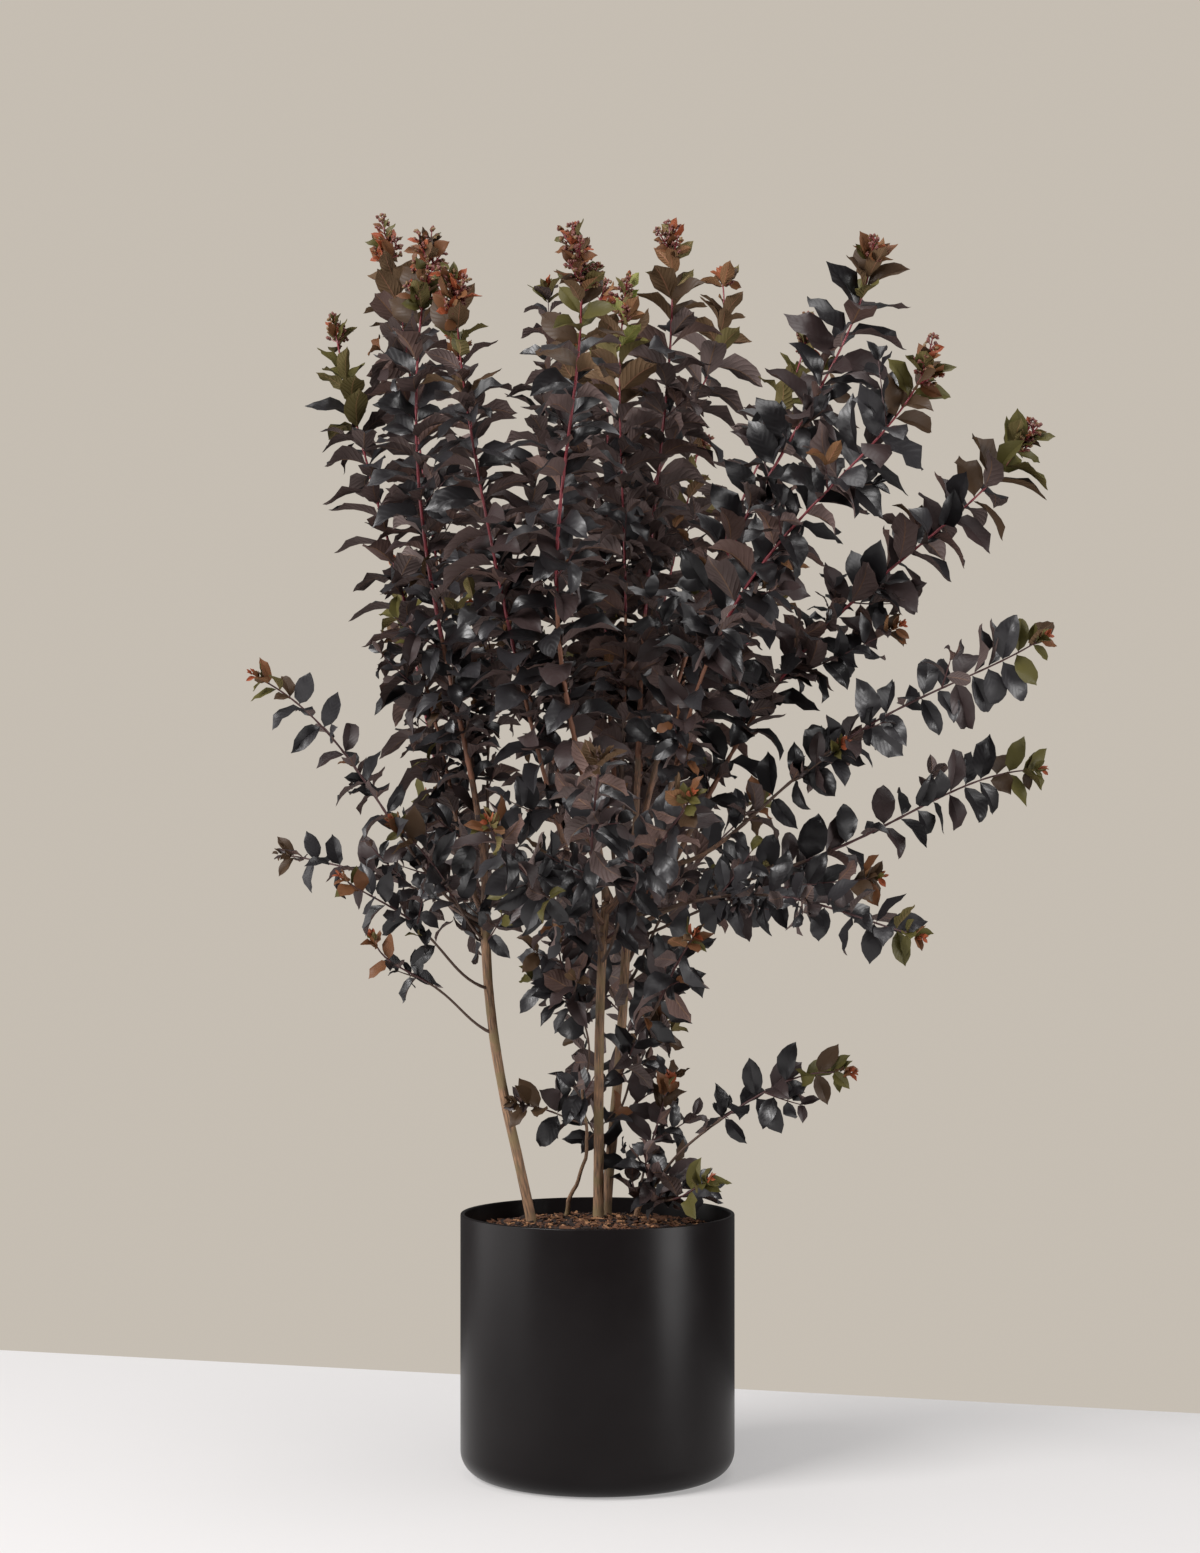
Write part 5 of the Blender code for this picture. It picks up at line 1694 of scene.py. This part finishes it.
    def own_stem(self, limb: Limb, line: Line, look: Look, end: float, draw: random.Random) -> None:
        """The shoot's own stem, swollen a little at its nodes, brown below and redder above."""
        start = max(0.0, limb.bough - 0.006 / line.length) if limb.bough else 0.0
        steps = max(6, round(line.length * (end - start) / self.ring_pitch))
        shares = even_shares(start, end, steps)
        pitch = VIGOURS[look.habit].pitch
        places, radii = [], []
        for share in shares:
            run = share * line.length
            swell = 0.14 * math.cos(math.tau * run / pitch) if share > limb.leafy else 0.0
            places.append(line.point(share))
            slim = 1.0 if share < limb.bough + 0.05 else self.stem_share
            radii.append(max(line.radius(share) * slim * (1.0 + swell), self.thinnest))
        slots = []
        low, high = (bound + draw.uniform(-0.06, 0.06) for bound in self.WOOD_BOUNDS[look.tall])
        for share in shares[:-1]:
            if share < (low if look.tall else high):
                wood = Wood.BROWN
            elif look.tall:
                wood = Wood.RUSSET if share < high else Wood.CRIMSON
            else:
                wood = Wood.WINE
            slots += [wood.value] * self.shoot_sides
        self.shoots.add_tube(places, radii, self.shoot_sides, [*slots, slots[0], slots[-1]])

    def side_twigs(self, limb: Limb, line: Line) -> list[list[Vector]]:
        """The seeded rule by which side twigs branch from a leafy shoot.

        Args:
            limb: The shoot.
            line: Its middle line.

        Returns:
            A run of places for each twig.
        """
        draw = random.Random(f"{limb.name} twigs")
        count = round(line.length * (1.0 - limb.leafy) / self.TWIG_PITCH)
        turn = draw.uniform(0.0, math.tau)
        low, high = self.TWIG_RANGE
        leafy = max(limb.leafy, limb.bough + 0.02)
        twigs = []
        for i in range(count):
            rise = low + (high - low) * (i + draw.uniform(0.2, 0.8)) / count
            share = leafy + (1.0 - leafy) * rise
            turn += self.TWIG_TURN
            along = line.along(share)
            reach = self.TWIG_REACH * (1.15 - share) * draw.uniform(0.75, 1.15)
            heading = along * math.cos(self.TWIG_OUT) + around(along, turn) * math.sin(self.TWIG_OUT)
            runs = even_shares(0.0, reach, 6)
            twigs.append([line.point(share) + heading * run + UP * (1.6 * run * run) for run in runs])
        return twigs

    def sprigs(self, limb: Limb, line: Line, look: Look, end: float, draw: random.Random) -> None:
        """Short leafy sprigs in the axils of the older leaves."""
        run = line.length * (end - limb.leafy)
        for _ in range(int(run / self.SPRIG_PITCH)):
            share = limb.leafy + (end - limb.leafy) * draw.uniform(0.0, 0.50)
            along = line.along(share)
            heading = outward(along, draw.uniform(0.0, math.tau), 0.75, 0.66)
            reach = draw.uniform(*self.SPRIG_REACH)
            root = line.point(share)
            runs = even_shares(0.0, reach, 3)
            self.twig([root + heading * r + UP * (2.0 * r * r) for r in runs], look, draw, 0.58)

    def twig(self, places: list[Vector], look: Look, draw: random.Random, vigour: float) -> None:
        """One side twig with pairs of smaller leaves and a small tip.

        Args:
            places: Its run of places.
            look: Look of the shoot that it grows on.
            draw: The shoot's seeded random numbers.
            vigour: Size of its leaves against the shoot's.
        """
        length = sum((b - a).length for a, b in zip(places, places[1:]))
        steps = len(places) - 1
        wood = Wood.WINE if draw.random() < 0.6 else Wood.BROWN
        self.twigs.add_tube(places, taper(0.0013, 0.0007, steps), self.twig_sides, wood.value)
        habit = VIGOURS[look.habit]
        count = max(2, round(length / (habit.pitch * 0.76)))
        turn = draw.uniform(0.0, math.tau)
        for i in range(count):
            share = (i + 0.8) / count
            index = min(int(share * steps), steps - 1)
            along = (places[index + 1] - places[index]).normalized()
            place = places[index].lerp(places[index + 1], min(share, 0.999) * steps - index)
            turn += QUARTER + draw.uniform(-0.3, 0.3)
            size = habit.leaf * vigour * (1.0 - 0.45 * share ** 2) * draw.uniform(0.85, 1.12)
            last = i == count - 1
            tone = self.deal(YOUNG[look.tip] if last and draw.random() < 0.35 else GROWN, draw)
            for side in (0.0, math.pi):
                out = habit.out * (0.6 if last else 0.95)
                self.leaf(place, along, turn + side, out, size, tone, habit, draw, 0.0008)

    # -- leaves

    @staticmethod
    def deal(weights: dict[Tone, int], draw: random.Random) -> Tone:
        """Draw a tone by weight."""
        return draw.choices(list(weights), weights=list(weights.values()))[0]

    def tone(self, to_tip: float, look: Look, draw: random.Random) -> Tone:
        """Tone of a pair of leaves by its distance from the shoot's tip.

        Args:
            to_tip: That distance.
            look: The shoot's look.
            draw: The shoot's seeded random numbers.

        Returns:
            The tone.
        """
        habit = VIGOURS[look.habit]
        if to_tip < habit.new:
            return self.deal(NEW[look.tip], draw)
        if to_tip < habit.young:
            return self.deal(YOUNG[look.tip], draw)
        if to_tip < habit.turning:
            return self.deal(TURNING[look.tip], draw)
        return self.deal(GROWN, draw)

    def pairs(self, limb: Limb, line: Line, look: Look, end: float, draw: random.Random) -> None:
        """Near-opposite pairs up the shoot, each square to the last."""
        habit = VIGOURS[look.habit]
        leafy = max(limb.leafy, limb.bough * 0.9)
        run = line.length * (end - leafy)
        count = max(3, round(run / (habit.pitch * look.spacing)))
        turn = draw.uniform(0.0, math.tau)
        for i in range(count):
            level = (i + 0.4) / count
            share = leafy + (end - leafy) * level * (1.0 + self.crowding * (1.0 - level))
            turn += QUARTER + draw.gauss(0.0, 0.16)
            if look.habit is Habit.SIDE:
                turn = math.radians(90 + (30 if i % 2 else -30)) + draw.gauss(0.0, 0.45)
            to_tip = line.length * (end - share)
            grown = min(1.0, to_tip / habit.full_size)
            young = habit.least + (1.0 - habit.least) * grown ** 0.9
            foot = 0.80 + 0.20 * min(1.0, (share - leafy) / 0.25)
            size = habit.leaf * young * foot * draw.uniform(0.86, 1.12)
            out = habit.out * (habit.least + (1.0 - habit.least) * grown)
            tone = self.tone(to_tip - look.flush, look, draw)
            if tone is Tone.BRONZE and size > self.bronze_size:
                tone = Tone.UMBER
            if tone is Tone.RUST and size > self.rust_size:
                tone = Tone.BRONZE
            for side in (0, 1):
                node = min(0.999, share + side * draw.uniform(0.001, 0.005) / line.length)
                self.leaf(line.point(node), line.along(node), turn + side * math.pi, out,
                          size * draw.uniform(0.92, 1.08), tone, habit, draw, line.radius(node),
                          0.35 + 0.65 * grown)

    def aim(self, place: Vector, along: Vector, habit: Vigour, draw: random.Random) -> Vector:
        """Where a leaf's upper side should face.

        Args:
            place: Where the leaf stands.
            along: Direction of its shoot.
            habit: How the shoot grows.
            draw: The shoot's seeded random numbers.

        Returns:
            A direction: up, outward from the plant's middle, and flat to the shoot's own side.
        """
        away = Vector((place.x, place.y - self.MIDDLE_DEPTH, 0.0))
        if away.length > 0.01:
            away.normalize()
        side = along.cross(UP)
        if side.length > 0.05:
            side.normalize()
        lean = side.dot(away)
        if lean < -0.6 or (lean <= 0.6 and side.y > 0.0):
            side = -side
        stray = Vector([draw.gauss(0.0, habit.stray) for _ in range(3)])
        return UP * (1.0 - 0.5 * habit.flat) + away * habit.outward + side * habit.flat + stray

    def leaf(self, place: Vector, along: Vector, turn: float, out: float, size: float, tone: Tone,
             habit: Vigour, draw: random.Random, radius: float, bend: float = 1.0) -> None:
        """Place one leaf where there is free air, or none where every try is in the way.

        Args:
            place: Point on the shoot's middle line.
            along: Direction of the shoot there.
            turn: Where about the shoot the leaf stands.
            out: Angle between leaf and shoot.
            size: The leaf's length.
            tone: Its tone.
            habit: How the shoot grows.
            draw: The shoot's seeded random numbers.
            radius: Half thickness of the shoot there.
            bend: Share of the habit's usual bend.
        """
        best, best_feelers, best_room = None, [], -1.0
        aim = self.aim(place, along, habit, draw)
        free = size < self.free_size
        out += self.sag * max(0.0, -around(along, turn).z)
        for aside in self.SWINGS:
            swing = turn + aside
            pose = leaf_frame(along, swing, out * draw.uniform(0.88, 1.12), aim)
            form = LeafForm(size, size * self.width_share * draw.uniform(0.90, 1.10),
                            rise=draw.uniform(*self.RISE), fall=draw.uniform(*habit.fall) * bend,
                            hook=draw.uniform(*habit.hook) * bend, fold=draw.uniform(*self.FOLD),
                            cup=draw.uniform(*self.CUP), wave=draw.uniform(*self.WAVE),
                            phase=draw.uniform(0.0, math.tau), twist=draw.gauss(0.0, self.TWIST))
            root = np.array(place + around(along, swing) * (radius * 0.7))
            verts = self.cutter.blade(form) @ np.array(pose.transposed()) + root
            feelers = verts[self.cutter.feelers].tolist()
            if self.hits_planter(feelers) or self.leaves_box(feelers) or self.veils_stem(feelers):
                continue
            if not free and self.limbs_taken.clearance(feelers) < self.limb_clear:
                continue
            room = self.leaves_taken.clearance(feelers)
            if room > best_room:
                best, best_room, best_feelers = verts, room, feelers
            if free or room > self.leaf_clear:
                break
        if best is not None:
            self.leaves[tone].add(best, self.cutter.faces, self.cutter.slots, self.cutter.uvs)
            self.leaves_taken.put(best_feelers)
            self.placed += 1

    def hits_planter(self, points: Iterable[Sequence[float]]) -> bool:
        """Whether any point is in the planter's wall or in the mix."""
        inner, outer = self.PLANTER_WALL
        for x, y, z in points:
            out = math.hypot(x, y)
            if out < outer and (z < self.MIX_TOP or z < self.PLANTER_TOP and inner < out):
                return True
        return False

    @staticmethod
    def leaves_box(points: Iterable[Sequence[float]]) -> bool:
        """Whether any point stands outside the plant's measured box."""
        low, high = CAD_BOX
        return any(not a <= value <= b for point in points for a, value, b in zip(low, point, high))

    def veils_stem(self, points: Iterable[Sequence[float]]) -> bool:
        """Whether any point stands right in front of the middle stem's bare length."""
        line = self.skeleton.lines["centre"]
        foot, rise = line.point(0.0).z, line.point(1.0).z - line.point(0.0).z
        for x, y, z in points:
            if self.BARE_FROM < z < self.BARE_TO:
                middle = line.point(min(1.0, (z - foot) / rise))
                if abs(x - middle.x) < self.bare_half and y < middle.y:
                    return True
        return False

    # -- tips

    def young_tuft(self, place: Vector, along: Vector, look: Look, draw: random.Random) -> None:
        """A tuft of upright leaves, smaller and redder inward but for a dark shoot's."""
        habit = VIGOURS[look.habit]
        turn = draw.uniform(0.0, math.tau)
        for i, (share, out) in enumerate(self.TUFT_TIERS):
            turn += QUARTER + draw.uniform(-0.25, 0.25)
            tone = self.deal(YOUNG[look.tip] if i < 2 else NEW[look.tip], draw)
            if i >= 3 and look.tip is not TipLook.DARK:
                tone = Tone.RUST
            root = place + along * (self.TUFT_STEP * (i - 1))
            for side in (0.0, math.pi):
                self.leaf(root, along, turn + side, out, habit.leaf * share * draw.uniform(0.85, 1.15), tone,
                          habit, draw, 0.0006, 0.4)

    def bud_spray(self, place: Vector, along: Vector, length: float, tip: TipLook,
                  draw: random.Random) -> None:
        """An upright spray of flower buds on crimson stalks, with small leaves under its branches.

        Args:
            place: Where it starts.
            along: Its direction there.
            length: Its length.
            tip: Colour of its small leaves.
            draw: The shoot's seeded random numbers.
        """
        steps = self.SPRAY_STEPS
        lean = (along + UP * 0.5).normalized()
        places = []
        for run in even_shares(0.0, length * 0.94, steps):
            bend = 0.4 * run / length
            places.append(place + along * run * (1.0 - bend) + lean * run * bend)
        self.stalks.add_tube(places, taper(0.0014, 0.0007, steps), self.twig_sides)
        tiers = max(3, round(length / self.SPRAY_PITCH))
        turn = draw.uniform(0.0, math.tau)
        for tier in range(tiers):
            share = (tier + 0.3) / tiers
            index = min(int(share * steps), steps - 1)
            root = places[index].lerp(places[index + 1], share * steps - index)
            ahead = (places[index + 1] - places[index]).normalized()
            turn += QUARTER + draw.uniform(-0.3, 0.3)
            reach = (0.28 * length * (1.0 - share) ** 0.8 + 0.0035) * draw.uniform(0.8, 1.2)
            for side in (0.0, math.pi):
                self.bud_branch(root, outward(ahead, turn + side), reach, draw)
                if draw.random() < 0.95 - 0.7 * share:
                    size = draw.uniform(*self.SPRAY_LEAVES) * (1.0 - share) + 0.007
                    tone = self.deal(YOUNG[tip] if draw.random() < 0.5 else NEW[tip], draw)
                    if size < self.RED_SIZE and draw.random() < self.RED_SHARE:
                        tone = Tone.RUST
                    self.leaf(root, ahead, turn + side + 0.2, 0.80, size, tone, VIGOURS[Habit.LOW], draw,
                              0.001, 0.5)
        self.bud(places[-1], (places[-1] - places[-2]).normalized(), 0.0022, draw)

    def bud_branch(self, root: Vector, heading: Vector, reach: float, draw: random.Random) -> None:
        """One short branch of a spray with a cluster of buds along its outer half."""
        end = root + heading * reach
        self.stalks.add_tube([root, root.lerp(end, 0.5), end], [0.0007, 0.0006, 0.0005], 4)
        self.bud(end, heading, draw.uniform(*self.END_BUD_RADII), draw)
        for _ in range(2 + int(reach / self.BUD_PITCH)):
            way = (heading * 0.5 + Vector([draw.gauss(0.0, 0.6) for _ in range(3)])).normalized()
            place = root.lerp(end, draw.uniform(0.55, 1.0)) + way * self.BUD_OFF
            self.bud(place, way, draw.uniform(*self.BUD_RADII), draw)

    def bud(self, place: Vector, way: Vector, radius: float, draw: random.Random) -> None:
        """One round pointed bud."""
        places = [place + way * (radius * level) for level in self.BUD_LEVELS]
        heap = self.buds[0 if draw.random() < self.BUD_RED_SHARE else 1]
        heap.add_tube(places, [radius * wide for wide in self.BUD_WIDTHS], 6)


# ---------------------------------------------------------------- studio

@dataclass(frozen=True)
class Softbox:
    """One rectangular lamp: its place, what it faces, its size and its power in watts."""

    name: str
    place: Place
    aim: Place
    size: Span
    power: float
    skips_floor: bool = False
    colour: Colour = (1.0, 0.985, 0.98)

    def build(self, floor: bpy.types.Object) -> None:
        """Hang the lamp; one that skips the floor leaves no pool of light on it."""
        light = bpy.data.lights.new(self.name, "AREA")
        light.shape = "RECTANGLE"
        light.size, light.size_y = self.size
        light.energy = self.power
        light.color = self.colour
        lamp = bpy.data.objects.new(self.name, light)
        lamp.location = self.place
        lamp.rotation_euler = (Vector(self.aim) - Vector(self.place)).to_track_quat("-Z", "Y").to_euler()
        bpy.context.scene.collection.objects.link(lamp)
        if self.skips_floor:
            skipped = bpy.data.collections.new(f"{self.name} skips")
            skipped.objects.link(floor)
            skipped.collection_objects[0].light_linking.link_state = "EXCLUDE"
            lamp.light_linking.receiver_collection = skipped


SOFTBOXES = (
    Softbox("key", (-4.0, -3.3, 4.2), (0.0, 0.0, 0.8), (3.4, 2.8), 488.0),
    Softbox("top", (0.3, -0.4, 4.3), (0.0, 0.0, 0.5), (3.0, 3.0), 94.0),
    Softbox("strip", (2.75, -1.4, 1.2), (0.0, 0.0, 0.7), (1.20, 2.4), 76.0, True),
    Softbox("panel", (-2.6, -0.2, 0.8), (0.0, 0.0, 0.3), (3.0, 1.4), 33.0, True),
)


@dataclass
class Studio:
    """Pale floor that glows a little, a warm plain surround, soft lamps and the camera."""

    floor_size: float = 9.0
    floor_turn: float = math.radians(-16.65)
    floor_back: float = 0.641
    floor_colour: Colour = (0.440, 0.431, 0.428)
    floor_rough: float = 0.8
    glow_colour: Colour = (1.0, 0.979, 0.972)
    glow: float = 0.36
    camera_distance: float = 3.8
    camera_height: float = 0.79
    focal_pixels: float = 2924.7
    image: tuple[int, int] = (1200, 1553)
    principal: Span = (597.5, 864.6)
    backdrop: Colour = (0.562, 0.512, 0.447)
    ambient: Colour = (0.112, 0.109, 0.107)

    def build(self) -> None:
        """Set up floor, world, lights and camera."""
        floor = self.floor()
        self.world()
        for softbox in SOFTBOXES:
            softbox.build(floor)
        self.camera()
        bpy.context.scene.view_settings.view_transform = "Standard"

    def floor(self) -> bpy.types.Object:
        """A pale floor whose back edge runs behind the planter."""
        deselect()
        bpy.ops.mesh.primitive_plane_add(size=self.floor_size)
        floor = bpy.context.active_object
        floor.name = "floor"
        normal = Vector((-math.sin(self.floor_turn), math.cos(self.floor_turn), 0.0))
        floor.rotation_euler.z = self.floor_turn
        floor.location = normal * (self.floor_back - 0.5 * self.floor_size)
        settle(floor)
        dress = Dresser("floor", self.floor_colour, self.floor_rough)
        dress.shader.inputs["Emission Color"].default_value = (*self.glow_colour, 1.0)
        dress.shader.inputs["Emission Strength"].default_value = self.glow
        grain = dress.effect(Effects.mottle(), Scale=2.0, Fine_Scale=300.0)
        dress.bump(grain.outputs["Height"], 0.05, 0.0005)
        floor.data.materials.append(dress.material)
        return floor

    def world(self) -> None:
        """A plain warm backdrop that lights the plant only dimly."""
        world = bpy.data.worlds.new("surround")
        bpy.context.scene.world = world
        world.use_nodes = True
        tree = world.node_tree
        seen = tree.nodes["Background"]
        seen.inputs["Color"].default_value = (*self.backdrop, 1.0)
        lit = tree.nodes.new("ShaderNodeBackground")
        lit.inputs["Color"].default_value = (*self.ambient, 1.0)
        path = tree.nodes.new("ShaderNodeLightPath")
        mix = tree.nodes.new("ShaderNodeMixShader")
        tree.links.new(path.outputs["Is Camera Ray"], mix.inputs["Fac"])
        tree.links.new(lit.outputs["Background"], mix.inputs[1])
        tree.links.new(seen.outputs["Background"], mix.inputs[2])
        tree.links.new(mix.outputs["Shader"], tree.nodes["World Output"].inputs["Surface"])

    def camera(self) -> None:
        """A level camera in front of the plant."""
        data = bpy.data.cameras.new("camera")
        wide, tall = self.image
        data.sensor_fit = "VERTICAL"
        data.sensor_height = 36.0
        data.lens = self.focal_pixels / tall * data.sensor_height
        data.shift_x = (0.5 * wide - self.principal[0]) / tall
        data.shift_y = (self.principal[1] - 0.5 * tall) / tall
        camera = bpy.data.objects.new("camera", data)
        camera.location = (0.0, -self.camera_distance, self.camera_height)
        camera.rotation_euler = (math.radians(90.0), 0.0, 0.0)
        bpy.context.scene.collection.objects.link(camera)
        bpy.context.scene.camera = camera


def main() -> None:
    """Build every piece in order."""
    logging.basicConfig(level=logging.INFO, format="%(name)s: %(message)s")
    Studio().build()
    planter = Planter()
    planter.dress(planter.build())
    mix = PottingMix()
    mix.dress(mix.build())
    skeleton = Skeleton()
    BareLimbs(skeleton).build()
    Foliage(skeleton).build()


if __name__ == "__main__":
    main()
